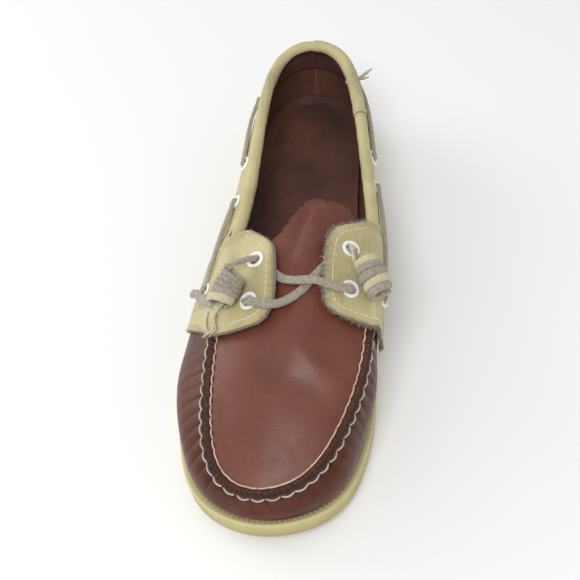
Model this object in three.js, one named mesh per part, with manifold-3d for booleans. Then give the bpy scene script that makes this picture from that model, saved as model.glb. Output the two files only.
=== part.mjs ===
// A right boat shoe, standing empty on its sole: a moccasin-toe upper on a flat rubber unit sole, with two
// eyelet facings over the instep, a rolled collar, a rawhide lace that runs through eyelets along both sides
// and crosses once over the tongue, and a barrel knot at each lace end.
//
// Units are millimetres, +Z is up. The toe points to -Y and the big-toe (medial) side to +X. The origin lies
// on the floor, at the middle of the shoe's plan box without its free lace ends. "Station" is the distance
// forwards from the back of the heel.

import * as THREE from "three";
import { mergeVertices } from "three/addons/utils/BufferGeometryUtils.js";
import Module from "manifold-3d";

const wasm = await Module();
wasm.setup();

// ---------------------------------------------------------------------------------------------------------
// Driving dimensions
// ---------------------------------------------------------------------------------------------------------

const GAP = 0.35; // between pieces that touch
const WALL = 2.2; // upper leather with its lining
const SIDE_TAPER = 1.5; // the sole's side wall leans in by this much towards the floor
const INSOLE_THICKNESS = 3.5;
const COLLAR_RADIUS = 3.5; // the rolled collar is a padded tube
const COLLAR_DROP = 4.2; // the upper's wall ends this far under the collar's centre line
const SEAM_BEAD_RADIUS = 2.1; // the raised moccasin seam round the apron
const FACING_THICKNESS = 2.0;
const TONGUE_THICKNESS = 2.0;
const LACE_DIAMETER = 3.0;
const EYELET = { flangeRadius: 4.7, holeRadius: 2.8, barrelRadius: 3.2, flangeThickness: 0.9 };

// The last, as one row for each pattern line round the shoe, heel to toe on the medial side and back on the
// lateral side. rim: outer edge of the sole's top. feather: where the upper meets the sole. belly: fullest
// line of the upper's wall. top: the moccasin seam in front, and the middle of the collar behind.
// x is sideways, s is the station and z the height.
const LAST = [
  { line: "heel back", rim: [0, -2], feather: [0, 3], belly: [0, 0, 40], top: [0, 5, 68] },
  { line: "heel corner, medial", rim: [27, 9], feather: [23, 13], belly: [24, 11, 38], top: [19, 13, 67] },
  { line: "heel side, medial", rim: [36, 42], feather: [31, 43], belly: [34.5, 43, 37], top: [29, 42, 62] },
  { line: "ankle, medial", rim: [35, 85], feather: [31, 85], belly: [39, 85, 37], top: [35, 85, 58] },
  { line: "waist, medial", rim: [37, 125], feather: [33, 125], belly: [43.5, 125, 38], top: [41, 125, 58] },
  { line: "instep, medial", rim: [42, 160], feather: [37, 160], belly: [48, 160, 38], top: [44, 160, 61] },
  { line: "joint, medial", rim: [47, 195], feather: [42, 195], belly: [48, 195, 34], top: [45, 195, 58] },
  { line: "ball, medial", rim: [49, 230], feather: [44, 230], belly: [49, 229, 32], top: [44.5, 228, 51] },
  { line: "toe side, medial", rim: [44, 264], feather: [39, 262], belly: [43, 262, 30], top: [35, 261, 46] },
  { line: "toe corner, medial", rim: [32, 289], feather: [28, 287], belly: [29, 288, 29], top: [20.5, 285.5, 41] },
  { line: "toe tip", rim: [-2, 302], feather: [-2, 298], belly: [-2, 299, 28], top: [-6, 293, 39] },
  { line: "toe corner, lateral", rim: [-35, 290], feather: [-31, 286], belly: [-32, 287, 28], top: [-25, 282, 39] },
  { line: "toe side, lateral", rim: [-48, 262], feather: [-44, 260], belly: [-46, 260, 28], top: [-31.5, 258, 42] },
  { line: "ball, lateral", rim: [-55, 226], feather: [-51, 226], belly: [-53, 226, 29], top: [-33.5, 228, 46.5] },
  { line: "joint, lateral", rim: [-54, 190], feather: [-49, 190], belly: [-51, 192, 30], top: [-33, 195, 53] },
  { line: "instep, lateral", rim: [-46, 155], feather: [-41, 155], belly: [-45, 157, 34], top: [-28, 160, 60] },
  { line: "waist, lateral", rim: [-39, 120], feather: [-34, 120], belly: [-38, 122, 37], top: [-25, 125, 59] },
  { line: "ankle, lateral", rim: [-36, 82], feather: [-31, 82], belly: [-35.5, 84, 38], top: [-26, 85, 59] },
  { line: "heel side, lateral", rim: [-36, 42], feather: [-31, 43], belly: [-34.5, 43, 38], top: [-26, 42, 63] },
  { line: "heel corner, lateral", rim: [-27, 9], feather: [-23, 13], belly: [-24, 11, 38], top: [-18, 13, 67] },
];
const LINES = LAST.length;
const TOE_LINE = LAST.findIndex((row) => row.line === "toe tip");

// The sole's side profile: the height of its top and of its tread at each station.
const SOLE_TOP = [
  { s: -10, z: 22 },
  { s: 30, z: 22 },
  { s: 90, z: 20.5 },
  { s: 130, z: 18 },
  { s: 180, z: 15 },
  { s: 230, z: 14 },
  { s: 262, z: 15.5 },
  { s: 280, z: 18 },
  { s: 300, z: 22.5 },
  { s: 310, z: 25 },
];
const TREAD = [
  { s: -10, z: 3.5 },
  { s: 4, z: 1.2 },
  { s: 12, z: 0 },
  { s: 74, z: 0 },
  { s: 77, z: 4 },
  { s: 108, z: 3.4 },
  { s: 132, z: 0 },
  { s: 226, z: 0 },
  { s: 248, z: 1.2 },
  { s: 272, z: 4.2 },
  { s: 310, z: 11.5 },
];

// The apron's cross curvature, by pattern lines back from the toe tip.
const APRON_RADIUS = { toe: 95, instep: 47, settledAt: 4.4 };
const APRON_END = 4.15; // pattern lines from the toe tip to the apron's hidden back edge
const COLLAR_FRONT = { medial: 4.5, lateral: 4.86 }; // pattern lines from the heel to the collar's front ends

// Pieces that lie on the instep. lines: pattern lines back from the toe tip. across: 0 at the lateral seam
// and 1 at the medial seam. Each row of a facing gives its inner edge, and each row of the tongue both edges.
const FACING_LATERAL = [
  { lines: 3.35, inner: 0.217 },
  { lines: 3.4, inner: 0.327 },
  { lines: 3.52, inner: 0.384 },
  { lines: 3.75, inner: 0.411 },
  { lines: 4.12, inner: 0.399 },
  { lines: 4.5, inner: 0.368 },
  { lines: 4.66, inner: 0.335 },
  { lines: 4.78, inner: 0.284 },
  { lines: 4.93, inner: 0.204 },
  { lines: 5.04, inner: 0.14 },
];
const FACING_MEDIAL = [
  { lines: 3.575, inner: 0.855 },
  { lines: 3.62, inner: 0.772 },
  { lines: 3.69, inner: 0.729 },
  { lines: 3.79, inner: 0.707 },
  { lines: 4, inner: 0.69 },
  { lines: 4.41, inner: 0.68 },
  { lines: 4.75, inner: 0.687 },
  { lines: 4.93, inner: 0.713 },
  { lines: 5.1, inner: 0.799 },
  { lines: 5.25, inner: 0.874 },
  { lines: 5.4, inner: 0.935 },
];
const FACING_LIFT = { seam: 2.6, edge: 4.4 }; // under face over the instep
const TONGUE = [
  { lines: 4.17, lateral: 0.16, medial: 0.88 },
  { lines: 4.5, lateral: 0.2, medial: 0.88 },
  { lines: 4.75, lateral: 0.26, medial: 0.88 },
  { lines: 4.93, lateral: 0.35, medial: 0.88 },
  { lines: 5.09, lateral: 0.4, medial: 0.875 },
  { lines: 5.27, lateral: 0.447, medial: 0.865 },
  { lines: 5.4, lateral: 0.485, medial: 0.845 },
  { lines: 5.5, lateral: 0.515, medial: 0.815 },
  { lines: 5.57, lateral: 0.56, medial: 0.76 },
];

// Eyelets. Facing eyelets lie on the instep, side eyelets on the wall at a share of its height.
const FACING_EYELETS = [
  { name: "eyelet_facing_lateral_front", lines: 3.753, across: 0.269, side: "lateral" },
  { name: "eyelet_facing_lateral_rear", lines: 4.391, across: 0.265, side: "lateral" },
  { name: "eyelet_facing_medial_front", lines: 4.017, across: 0.836, side: "medial" },
  { name: "eyelet_facing_medial_rear", lines: 4.66, across: 0.822, side: "medial" },
];
const SIDE_EYELET_HEIGHT = 0.78;
const SIDE_EYELETS = [
  { spot: "heel", medial: 1.3, lateral: 1.87 },
  { spot: "ankle", medial: 3, lateral: 3.2 },
  { spot: "waist", medial: 3.58, lateral: 3.97 },
  { spot: "instep", medial: 5.7, lateral: 5.65 },
];

// ---------------------------------------------------------------------------------------------------------
// Curves and surfaces of the last
// ---------------------------------------------------------------------------------------------------------

/** A smooth closed curve round the shoe: a uniform cubic B-spline through one column of LAST. */
function ring(column, line) {
  const first = Math.floor(line);
  const f = line - first;
  const weights = [(1 - f) ** 3, 3 * f ** 3 - 6 * f ** 2 + 4, -3 * f ** 3 + 3 * f ** 2 + 3 * f + 1, f ** 3];
  const sum = [0, 0, 0];
  weights.forEach((weight, k) => {
    const row = LAST[(((first + k - 1) % LINES) + LINES) % LINES][column];
    row.forEach((value, axis) => (sum[axis] += (value * weight) / 6));
  });
  return sum;
}

/** A smooth curve through the rows of a table of stations and heights. */
function smoothHeight(table, s) {
  let i = table.findIndex((row, k) => k > 0 && s <= row.s) - 1;
  if (i < 0) i = s < table[0].s ? 0 : table.length - 2;
  const slope = (k) => {
    const a = table[Math.max(k - 1, 0)];
    const b = table[Math.min(k + 1, table.length - 1)];
    return (b.z - a.z) / (b.s - a.s);
  };
  const [a, b] = [table[i], table[i + 1]];
  const run = b.s - a.s;
  const f = (s - a.s) / run;
  return (
    a.z * (2 * f ** 3 - 3 * f ** 2 + 1) +
    slope(i) * run * (f ** 3 - 2 * f ** 2 + f) +
    b.z * (-2 * f ** 3 + 3 * f ** 2) +
    slope(i + 1) * run * (f ** 3 - f ** 2)
  );
}

const soleTop = (s) => smoothHeight(SOLE_TOP, s);

/** Linear interpolation in a table, where key names the column of stations. */
function lookUp(table, key, value, column) {
  let i = table.findIndex((row, k) => k > 0 && value <= row[key]) - 1;
  if (i < 0) i = value < table[0][key] ? 0 : table.length - 2;
  const [a, b] = [table[i], table[i + 1]];
  const f = THREE.MathUtils.clamp((value - a[key]) / (b[key] - a[key]), 0, 1);
  return a[column] + (b[column] - a[column]) * f;
}

// The middle of the sole's rim, which the last is drawn about.
const rimSamples = Array.from({ length: 400 }, (_, k) => ring("rim", (k * LINES) / 400));
const middle = (axis) => {
  const values = rimSamples.map((p) => p[axis]);
  return (Math.min(...values) + Math.max(...values)) / 2;
};
const RIM_MIDDLE = { x: middle(0), s: middle(1) };

/** From the last's sideways, station and height to x, y and z. */
const place = (x, s, z) => new THREE.Vector3(x - RIM_MIDDLE.x, RIM_MIDDLE.s - s, z);

/** The upper's wall: a parabola from the feather through the belly to the top. height runs from 0 to 1. */
function wall(line, height) {
  const [fx, fs] = ring("feather", line);
  const feather = place(fx, fs, soleTop(fs) + GAP);
  const belly = place(...ring("belly", line));
  const top = place(...ring("top", line));
  const control = belly.clone().multiplyScalar(2).sub(feather.clone().add(top).multiplyScalar(0.5));
  return feather
    .multiplyScalar((1 - height) ** 2)
    .add(control.multiplyScalar(2 * height * (1 - height)))
    .add(top.multiplyScalar(height ** 2));
}

/** The normal of a surface (a, b) -> point, by finite differences. It points outwards on the wall. */
function normalOf(surface, a, b, step = 0.01) {
  const alongA = surface(a + step, b).sub(surface(a - step, b));
  const alongB = surface(a, b + step).sub(surface(a, b - step));
  return alongB.cross(alongA).normalize();
}
const wallNormal = (line, height) => normalOf(wall, line, THREE.MathUtils.clamp(height, 0.02, 0.98));

/** The crowned surface between the two seams: the apron and, further back, the instep under the facings. */
function instep(lines, across) {
  const medial = place(...ring("top", TOE_LINE - lines));
  const lateral = place(...ring("top", TOE_LINE + lines));
  const eased = THREE.MathUtils.smoothstep(lines, 0, APRON_RADIUS.settledAt);
  const radius = THREE.MathUtils.lerp(APRON_RADIUS.toe, APRON_RADIUS.instep, eased);
  const crown = medial.distanceTo(lateral) ** 2 / (8 * radius);
  const point = lateral.lerp(medial, across);
  point.z += crown * 4 * across * (1 - across);
  return point;
}
const instepNormal = (lines, across) => {
  const normal = normalOf(instep, lines, across);
  return normal.z < 0 ? normal.negate() : normal;
};
const overInstep = (lines, across, lift) =>
  instep(lines, across).addScaledVector(instepNormal(lines, across), lift);

// ---------------------------------------------------------------------------------------------------------
// Solids
// ---------------------------------------------------------------------------------------------------------

/** A BufferGeometry from points and triangles, with its faces turned outwards. */
function closedGeometry(points, triangles) {
  const volume = triangles.reduce((sum, [a, b, c]) => {
    return sum + points[a].dot(points[b].clone().cross(points[c]));
  }, 0);
  const facing = volume < 0 ? triangles.map(([a, b, c]) => [a, c, b]) : triangles;
  const geometry = new THREE.BufferGeometry().setFromPoints(points);
  return geometry.setIndex(facing.flat());
}

/** A solid between two grids of points, each rows x columns. wrap joins the last row to the first. */
function shellBetween(outer, inner, wrap = false) {
  const rows = outer.length;
  const columns = outer[0].length;
  const points = [...outer.flat(), ...inner.flat()];
  const at = (layer, i, j) => layer * rows * columns + (i % rows) * columns + j;
  const triangles = [];
  const quad = (a, b, c, d) => triangles.push([a, b, c], [a, c, d]);
  const lastRow = wrap ? rows : rows - 1;
  for (let i = 0; i < lastRow; i++) {
    for (let j = 0; j < columns - 1; j++) {
      quad(at(0, i, j), at(0, i + 1, j), at(0, i + 1, j + 1), at(0, i, j + 1));
      quad(at(1, i, j), at(1, i, j + 1), at(1, i + 1, j + 1), at(1, i + 1, j));
    }
    quad(at(0, i, 0), at(1, i, 0), at(1, i + 1, 0), at(0, i + 1, 0));
    quad(at(0, i, columns - 1), at(0, i + 1, columns - 1), at(1, i + 1, columns - 1), at(1, i, columns - 1));
  }
  if (!wrap) {
    for (let j = 0; j < columns - 1; j++) {
      quad(at(0, 0, j), at(0, 0, j + 1), at(1, 0, j + 1), at(1, 0, j));
      quad(at(0, rows - 1, j), at(1, rows - 1, j), at(1, rows - 1, j + 1), at(0, rows - 1, j + 1));
    }
  }
  return closedGeometry(points, triangles);
}

/** A tube of round section along a list of points. pitch is the length of one step along it. */
function tube(path, radius, { sides = 8, pitch = 4.5 } = {}) {
  const corner = (k) => new THREE.Vector2(radius, 0).rotateAround(new THREE.Vector2(), (k * 2 * Math.PI) / sides);
  const curve = new THREE.CatmullRomCurve3(path);
  return new THREE.ExtrudeGeometry(new THREE.Shape(Array.from({ length: sides }, (_, k) => corner(k))), {
    steps: Math.max(4, Math.round(curve.getLength() / pitch)),
    extrudePath: curve,
  });
}

/** A three.js geometry as a manifold-3d solid. */
function solidOf(geometry) {
  const bare = geometry.clone();
  bare.deleteAttribute("normal");
  bare.deleteAttribute("uv");
  const merged = mergeVertices(bare, 1e-4);
  return new wasm.Manifold(
    new wasm.Mesh({
      numProp: 3,
      vertProperties: merged.attributes.position.array,
      triVerts: new Uint32Array(merged.index.array),
    }),
  );
}

/** A manifold-3d solid as a three.js geometry. */
function geometryOf(solid) {
  const mesh = solid.getMesh();
  const geometry = new THREE.BufferGeometry();
  const positions = new Float32Array(mesh.numVert * 3);
  for (let i = 0; i < mesh.numVert; i++) {
    positions.set(mesh.vertProperties.subarray(i * mesh.numProp, i * mesh.numProp + 3), i * 3);
  }
  geometry.setAttribute("position", new THREE.BufferAttribute(positions, 3));
  return geometry.setIndex(new THREE.BufferAttribute(mesh.triVerts, 1));
}

/** A geometry turned so that its +Z runs along axis, and moved to point. */
function standOn(geometry, point, axis) {
  const turn = new THREE.Quaternion().setFromUnitVectors(new THREE.Vector3(0, 0, 1), axis);
  return geometry.clone().applyQuaternion(turn).translate(point.x, point.y, point.z);
}

const steps = (count, from, to) => Array.from({ length: count }, (_, k) => from + ((to - from) * k) / (count - 1));

/** A cylinder along +Z, centred on the origin, as a lathe. */
function cylinder(radius, length, segments = 16) {
  const profile = [
    [0, -length / 2],
    [radius, -length / 2],
    [radius, length / 2],
    [0, length / 2],
  ].map(([r, z]) => new THREE.Vector2(r, z));
  return new THREE.LatheGeometry(profile, segments).rotateX(Math.PI / 2);
}

// ---------------------------------------------------------------------------------------------------------
// Sole and insole: a plan outline cut by a side profile
// ---------------------------------------------------------------------------------------------------------

const OUTLINE_POINTS = 96;

/** A prism over a plan outline, from z = low to z = high. inset draws the outline in towards the middle. */
function outlinePrism(column, low, high, insetLow, insetHigh) {
  const outline = (inset) =>
    Array.from({ length: OUTLINE_POINTS }, (_, k) => {
      const line = (k * LINES) / OUTLINE_POINTS;
      const [x, s] = ring(column, line);
      const [ax, as] = ring(column, line - 0.02);
      const [bx, bs] = ring(column, line + 0.02);
      const inward = new THREE.Vector2(-(bs - as), bx - ax).normalize().multiplyScalar(inset);
      return [x + inward.x, s + inward.y];
    });
  const bottom = outline(insetLow).map(([x, s]) => place(x, s, low));
  const top = outline(insetHigh).map(([x, s]) => place(x, s, high));
  const points = [...bottom, ...top, place(0, RIM_MIDDLE.s, low), place(0, RIM_MIDDLE.s, high)];
  const [under, over] = [2 * OUTLINE_POINTS, 2 * OUTLINE_POINTS + 1];
  const triangles = [];
  for (let k = 0; k < OUTLINE_POINTS; k++) {
    const next = (k + 1) % OUTLINE_POINTS;
    triangles.push([k, next, next + OUTLINE_POINTS], [k, next + OUTLINE_POINTS, k + OUTLINE_POINTS]);
    triangles.push([under, next, k], [over, k + OUTLINE_POINTS, next + OUTLINE_POINTS]);
  }
  return solidOf(closedGeometry(points, triangles));
}

/** A side profile, closed between an upper and a lower line, extruded across the whole width. */
function profileSlab(upper, lower) {
  const shape = new THREE.Shape([...upper, ...lower.toReversed()].map(([s, z]) => new THREE.Vector2(s, z)));
  const halfWidth = 80;
  const slab = new THREE.ExtrudeGeometry(shape, { depth: 2 * halfWidth, bevelEnabled: false });
  // Extruded along +Z from the (s, z) plane: station turns to -Y, the profile's height to +Z.
  const basis = new THREE.Matrix4().makeBasis(
    new THREE.Vector3(0, -1, 0),
    new THREE.Vector3(0, 0, 1),
    new THREE.Vector3(-1, 0, 0),
  );
  return solidOf(slab.applyMatrix4(basis).translate(halfWidth, RIM_MIDDLE.s, 0));
}

const TOP_STATIONS = steps(33, -8, 306);

function makeOutsole() {
  const side = profileSlab(
    TOP_STATIONS.map((s) => [s, soleTop(s)]),
    TREAD.map((row) => [row.s, row.z]),
  );
  return geometryOf(outlinePrism("rim", -1, 27, SIDE_TAPER, 0).intersect(side));
}

function makeInsole() {
  const lift = (above) => TOP_STATIONS.map((s) => [s, soleTop(s) + above]);
  const slab = profileSlab(lift(GAP + INSOLE_THICKNESS), lift(GAP));
  const inset = WALL + 1.2;
  return geometryOf(outlinePrism("feather", 10, 40, inset, inset).intersect(slab));
}

// ---------------------------------------------------------------------------------------------------------
// Upper: wall, apron and moccasin seam as one hollow solid, open at the collar, the throat and underneath
// ---------------------------------------------------------------------------------------------------------

/** How far up its parabola the wall goes: to the seam in front, and to just under the collar behind. */
function wallTop(line) {
  const [side, fromHeel] = line < LINES / 2 ? ["medial", line] : ["lateral", LINES - line];
  const climb = (wall(line, 1).z - wall(line, 0.9).z) / 0.1;
  const pastCollar = THREE.MathUtils.smoothstep(fromHeel, COLLAR_FRONT[side] + 0.05, COLLAR_FRONT[side] + 0.5);
  return THREE.MathUtils.lerp(1 - COLLAR_DROP / climb, 1, pastCollar);
}

function makeCradle() {
  const lines = Array.from({ length: 60 }, (_, k) => (k * LINES) / 60);
  const heights = [0, 0.2, 0.42, 0.64, 0.84, 1];
  const outer = lines.map((line) => heights.map((h) => wall(line, h * wallTop(line))));
  const inner = lines.map((line, i) =>
    heights.map((h, j) => {
      const point = outer[i][j].clone().addScaledVector(wallNormal(line, h * wallTop(line)), -WALL);
      if (j === 0) point.z = outer[i][j].z;
      return point;
    }),
  );
  return solidOf(shellBetween(outer, inner, true));
}

function makeApron() {
  const lines = steps(15, 0.22, APRON_END);
  const across = steps(9, 0, 1);
  const outer = lines.map((u) => across.map((w) => instep(u, w)));
  const inner = outer.map((row) => row.map((point) => point.clone().setZ(point.z - WALL)));
  return solidOf(shellBetween(outer, inner));
}

function makeSeamBead() {
  const ends = { medial: COLLAR_FRONT.medial + 0.4, lateral: LINES - COLLAR_FRONT.lateral - 0.4 };
  const path = steps(41, ends.medial, ends.lateral).map((line) => place(...ring("top", line)));
  return solidOf(tube(path, SEAM_BEAD_RADIUS, { sides: 6, pitch: 7 }));
}

/** A cutter for an eyelet's hole through a wall, along the axis there. */
const eyeletHole = (point, axis) => solidOf(standOn(cylinder(EYELET.barrelRadius + GAP, 12), point, axis));

const sideSpots = ["medial", "lateral"].flatMap((side) =>
  SIDE_EYELETS.map((row) => {
    const line = side === "medial" ? row.medial : LINES - row.lateral;
    const point = wall(line, SIDE_EYELET_HEIGHT);
    const axis = wallNormal(line, SIDE_EYELET_HEIGHT);
    return { name: `eyelet_side_${side}_${row.spot}`, side, spot: row.spot, line, point, axis };
  }),
);

function makeUpper() {
  let upper = makeCradle().add(makeApron()).add(makeSeamBead());
  for (const { point, axis } of sideSpots) upper = upper.subtract(eyeletHole(point, axis));
  return geometryOf(upper);
}

// ---------------------------------------------------------------------------------------------------------
// Collar, tongue and facings
// ---------------------------------------------------------------------------------------------------------

function makeCollar() {
  const lines = steps(45, -COLLAR_FRONT.lateral, COLLAR_FRONT.medial);
  const path = lines.map((line) => place(...ring("top", line + LINES)));
  return tube(path, COLLAR_RADIUS, { sides: 10, pitch: 7 });
}

function makeTongue() {
  const layer = (lift) =>
    steps(12, TONGUE[0].lines, TONGUE.at(-1).lines).map((lines) =>
      steps(9, 0, 1).map((share) => {
        const edges = ["lateral", "medial"].map((edge) => lookUp(TONGUE, "lines", lines, edge));
        return overInstep(lines, THREE.MathUtils.lerp(...edges, share), lift);
      }),
    );
  return shellBetween(layer(0), layer(-TONGUE_THICKNESS));
}

/** How far a facing's under face stands over the instep: it clears the seam bead, and the lace at its inner edge. */
function facingLift(across, side) {
  const fromSeam = side === "lateral" ? across : 1 - across;
  return THREE.MathUtils.lerp(FACING_LIFT.seam, FACING_LIFT.edge, Math.min(fromSeam / 0.35, 1));
}

const facingSpots = FACING_EYELETS.map(({ name, lines, across, side }) => {
  const lift = facingLift(across, side) + FACING_THICKNESS;
  return { name, side, point: overInstep(lines, across, lift), axis: instepNormal(lines, across) };
});

function makeFacing(table, side) {
  const seam = side === "lateral" ? 0.02 : 0.98;
  const layer = (extra) =>
    table.map(({ lines, inner }) =>
      steps(8, 0, 1).map((share) => {
        const across = THREE.MathUtils.lerp(seam, inner, share);
        return overInstep(lines, across, facingLift(across, side) + extra);
      }),
    );
  let facing = solidOf(shellBetween(layer(FACING_THICKNESS), layer(0)));
  for (const spot of facingSpots.filter((one) => one.side === side)) {
    facing = facing.subtract(eyeletHole(spot.point, spot.axis));
  }
  return geometryOf(facing);
}

// ---------------------------------------------------------------------------------------------------------
// Eyelets and laces
// ---------------------------------------------------------------------------------------------------------

/** One eyelet: a short barrel with a rounded flange that lies on the leather's outer face, at z = 0. */
function eyeletGeometry() {
  const { flangeRadius, holeRadius, barrelRadius, flangeThickness } = EYELET;
  const profile = [
    [holeRadius, -2],
    [barrelRadius, -2],
    [barrelRadius, GAP],
    [flangeRadius, GAP],
    [barrelRadius + 0.5, GAP + flangeThickness],
    [holeRadius, GAP + flangeThickness * 0.7],
    [holeRadius, -2],
  ].map(([r, z]) => new THREE.Vector2(r, z));
  return new THREE.LatheGeometry(profile, 12).rotateX(Math.PI / 2);
}

/** A straight run of lace outside the wall, between two side eyelets, clear of their flanges. */
function sideRun(from, to) {
  const clearance = EYELET.flangeThickness + GAP + LACE_DIAMETER / 2 + 0.4;
  return steps(7, from.line, to.line).map((line) =>
    wall(line, SIDE_EYELET_HEIGHT).addScaledVector(wallNormal(line, SIDE_EYELET_HEIGHT), clearance),
  );
}

// The two bars of lace that cross over the tongue. Each starts over its front eyelet, drops off the facing's
// edge and ends under the other facing. lift is the lace's centre line over the instep.
const CROSSING_BARS = [
  [
    { lines: 3.72, across: 0.276, lift: 9.4 },
    { lines: 3.67, across: 0.339, lift: 8.7 },
    { lines: 3.64, across: 0.402, lift: 8.2 },
    { lines: 3.665, across: 0.451, lift: 6 },
    { lines: 3.77, across: 0.504, lift: 3.1 },
    { lines: 3.91, across: 0.563, lift: 2 },
    { lines: 4.09, across: 0.615, lift: 2 },
    { lines: 4.26, across: 0.662, lift: 2 },
  ],
  [
    { lines: 3.96, across: 0.821, lift: 9.4 },
    { lines: 3.95, across: 0.757, lift: 8.9 },
    { lines: 3.97, across: 0.692, lift: 8.5 },
    { lines: 4.02, across: 0.64, lift: 6.4 },
    { lines: 4.03, across: 0.577, lift: 4.4 },
    { lines: 4.035, across: 0.511, lift: 2.8 },
    { lines: 4.08, across: 0.444, lift: 2 },
    { lines: 4.2, across: 0.384, lift: 2 },
  ],
];

function makeCrossing() {
  const bars = CROSSING_BARS.map((rows) => {
    const path = rows.map(({ lines, across, lift }) => overInstep(lines, across, lift));
    return solidOf(tube(path, LACE_DIAMETER / 2));
  });
  return geometryOf(bars[0].add(bars[1]));
}

/** A barrel knot's outer shape: a round barrel with domed ends, along +Z. */
function knotGeometry(radius, length) {
  const profile = [
    [0, -length / 2],
    [radius * 0.62, -length / 2],
    [radius * 0.9, -length * 0.4],
    [radius, -length * 0.15],
    [radius, length * 0.15],
    [radius * 0.9, length * 0.4],
    [radius * 0.62, length / 2],
    [0, length / 2],
  ].map(([r, z]) => new THREE.Vector2(r, z));
  return new THREE.LatheGeometry(profile, 12).rotateX(Math.PI / 2);
}

// Each knot lies on its facing in front of the rear eyelet. start and towards give its axis over the instep.
const KNOTS = [
  {
    side: "lateral",
    radius: 6.8,
    length: 20,
    start: { lines: 4.13, across: 0.219, lift: 13.2 },
    towards: { lines: 3.72, across: 0.142, lift: 12.9 },
  },
  {
    side: "medial",
    radius: 7.4,
    length: 24,
    start: { lines: 4.47, across: 0.855, lift: 13.4 },
    towards: { lines: 4.02, across: 0.958, lift: 12.6 },
  },
];

const knotPoint = ({ lines, across, lift }) => overInstep(lines, across, lift);
const knotAxis = ({ start, towards }) => knotPoint(towards).sub(knotPoint(start)).normalize();

function makeKnot(knot) {
  const middlePoint = knotPoint(knot.start).addScaledVector(knotAxis(knot), knot.length / 2);
  return standOn(knotGeometry(knot.radius, knot.length), middlePoint, knotAxis(knot));
}

/** The stretch of lace that comes up out of a facing's rear eyelet and goes into the knot. */
function makeLaceEnd(knot) {
  const { point, axis } = facingSpots.find((spot) => spot.name === `eyelet_facing_${knot.side}_rear`);
  const rise = EYELET.flangeThickness + GAP + LACE_DIAMETER / 2 + 0.5;
  const overEyelet = point.clone().addScaledVector(axis, rise);
  const intoKnot = knotPoint(knot.start).addScaledVector(knotAxis(knot), -GAP);
  const beforeKnot = knotPoint(knot.start).addScaledVector(knotAxis(knot), -LACE_DIAMETER / 2);
  const halfway = overEyelet.clone().addScaledVector(axis, 1).lerp(beforeKnot, 0.5);
  return tube([overEyelet, halfway, beforeKnot, intoKnot], LACE_DIAMETER / 2);
}

// ---------------------------------------------------------------------------------------------------------
// Assembly
// ---------------------------------------------------------------------------------------------------------

const finish = (color, roughness, metalness = 0) => new THREE.MeshStandardMaterial({ color, roughness, metalness });
const MATERIALS = {
  rubber: finish("#cdbf86", 0.7),
  brownLeather: finish("#74483c", 0.4),
  lining: finish("#4d302b", 0.6),
  tanLeather: finish("#b9ad7f", 0.55),
  enamel: finish("#e9e9ea", 0.3),
  rawhide: finish("#989082", 0.9),
};

const shoe = new THREE.Group();
shoe.name = "boat_shoe";

function addPiece(name, geometry, material) {
  const mesh = new THREE.Mesh(geometry, material);
  mesh.name = name;
  shoe.add(mesh);
}

addPiece("outsole", makeOutsole(), MATERIALS.rubber);
addPiece("insole", makeInsole(), MATERIALS.lining);
addPiece("upper", makeUpper(), MATERIALS.brownLeather);
addPiece("tongue", makeTongue(), MATERIALS.brownLeather);
addPiece("collar", makeCollar(), MATERIALS.tanLeather);
addPiece("facing_lateral", makeFacing(FACING_LATERAL, "lateral"), MATERIALS.tanLeather);
addPiece("facing_medial", makeFacing(FACING_MEDIAL, "medial"), MATERIALS.tanLeather);

for (const { name, point, axis } of [...facingSpots, ...sideSpots]) {
  addPiece(name, standOn(eyeletGeometry(), point, axis), MATERIALS.enamel);
}

for (const side of ["medial", "lateral"]) {
  const spot = (name) => sideSpots.find((one) => one.side === side && one.spot === name);
  addPiece(`lace_${side}_rear_run`, tube(sideRun(spot("heel"), spot("ankle")), LACE_DIAMETER / 2), MATERIALS.rawhide);
  addPiece(`lace_${side}_front_run`, tube(sideRun(spot("waist"), spot("instep")), LACE_DIAMETER / 2), MATERIALS.rawhide);
}
addPiece("lace_crossing", makeCrossing(), MATERIALS.rawhide);

// The origin is the middle of everything so far: the lace's free ends and knots don't move it.
const middleOfShoe = new THREE.Box3().setFromObject(shoe).getCenter(new THREE.Vector3());
shoe.position.set(-middleOfShoe.x, -middleOfShoe.y, 0);

for (const knot of KNOTS) {
  addPiece(`lace_end_${knot.side}`, makeLaceEnd(knot), MATERIALS.rawhide);
  addPiece(`barrel_knot_${knot.side}`, makeKnot(knot), MATERIALS.rawhide);
}

export default shoe;
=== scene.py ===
# %% [markdown]
# # A right boat shoe
# A boat shoe is a moccasin: one piece of leather wraps the foot from below and the sides, and a flat apron
# closes the top. The two are joined by a raised, hand-sewn seam. Here it stands empty on its rubber sole.
# Every length below is in millimetres until a mesh is made, because that is how a shoemaker measures.

# %% Load the fixed frame
import math

import bpy
import numpy as np
from mathutils import Matrix, Vector
from mathutils.bvhtree import BVHTree


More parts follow.
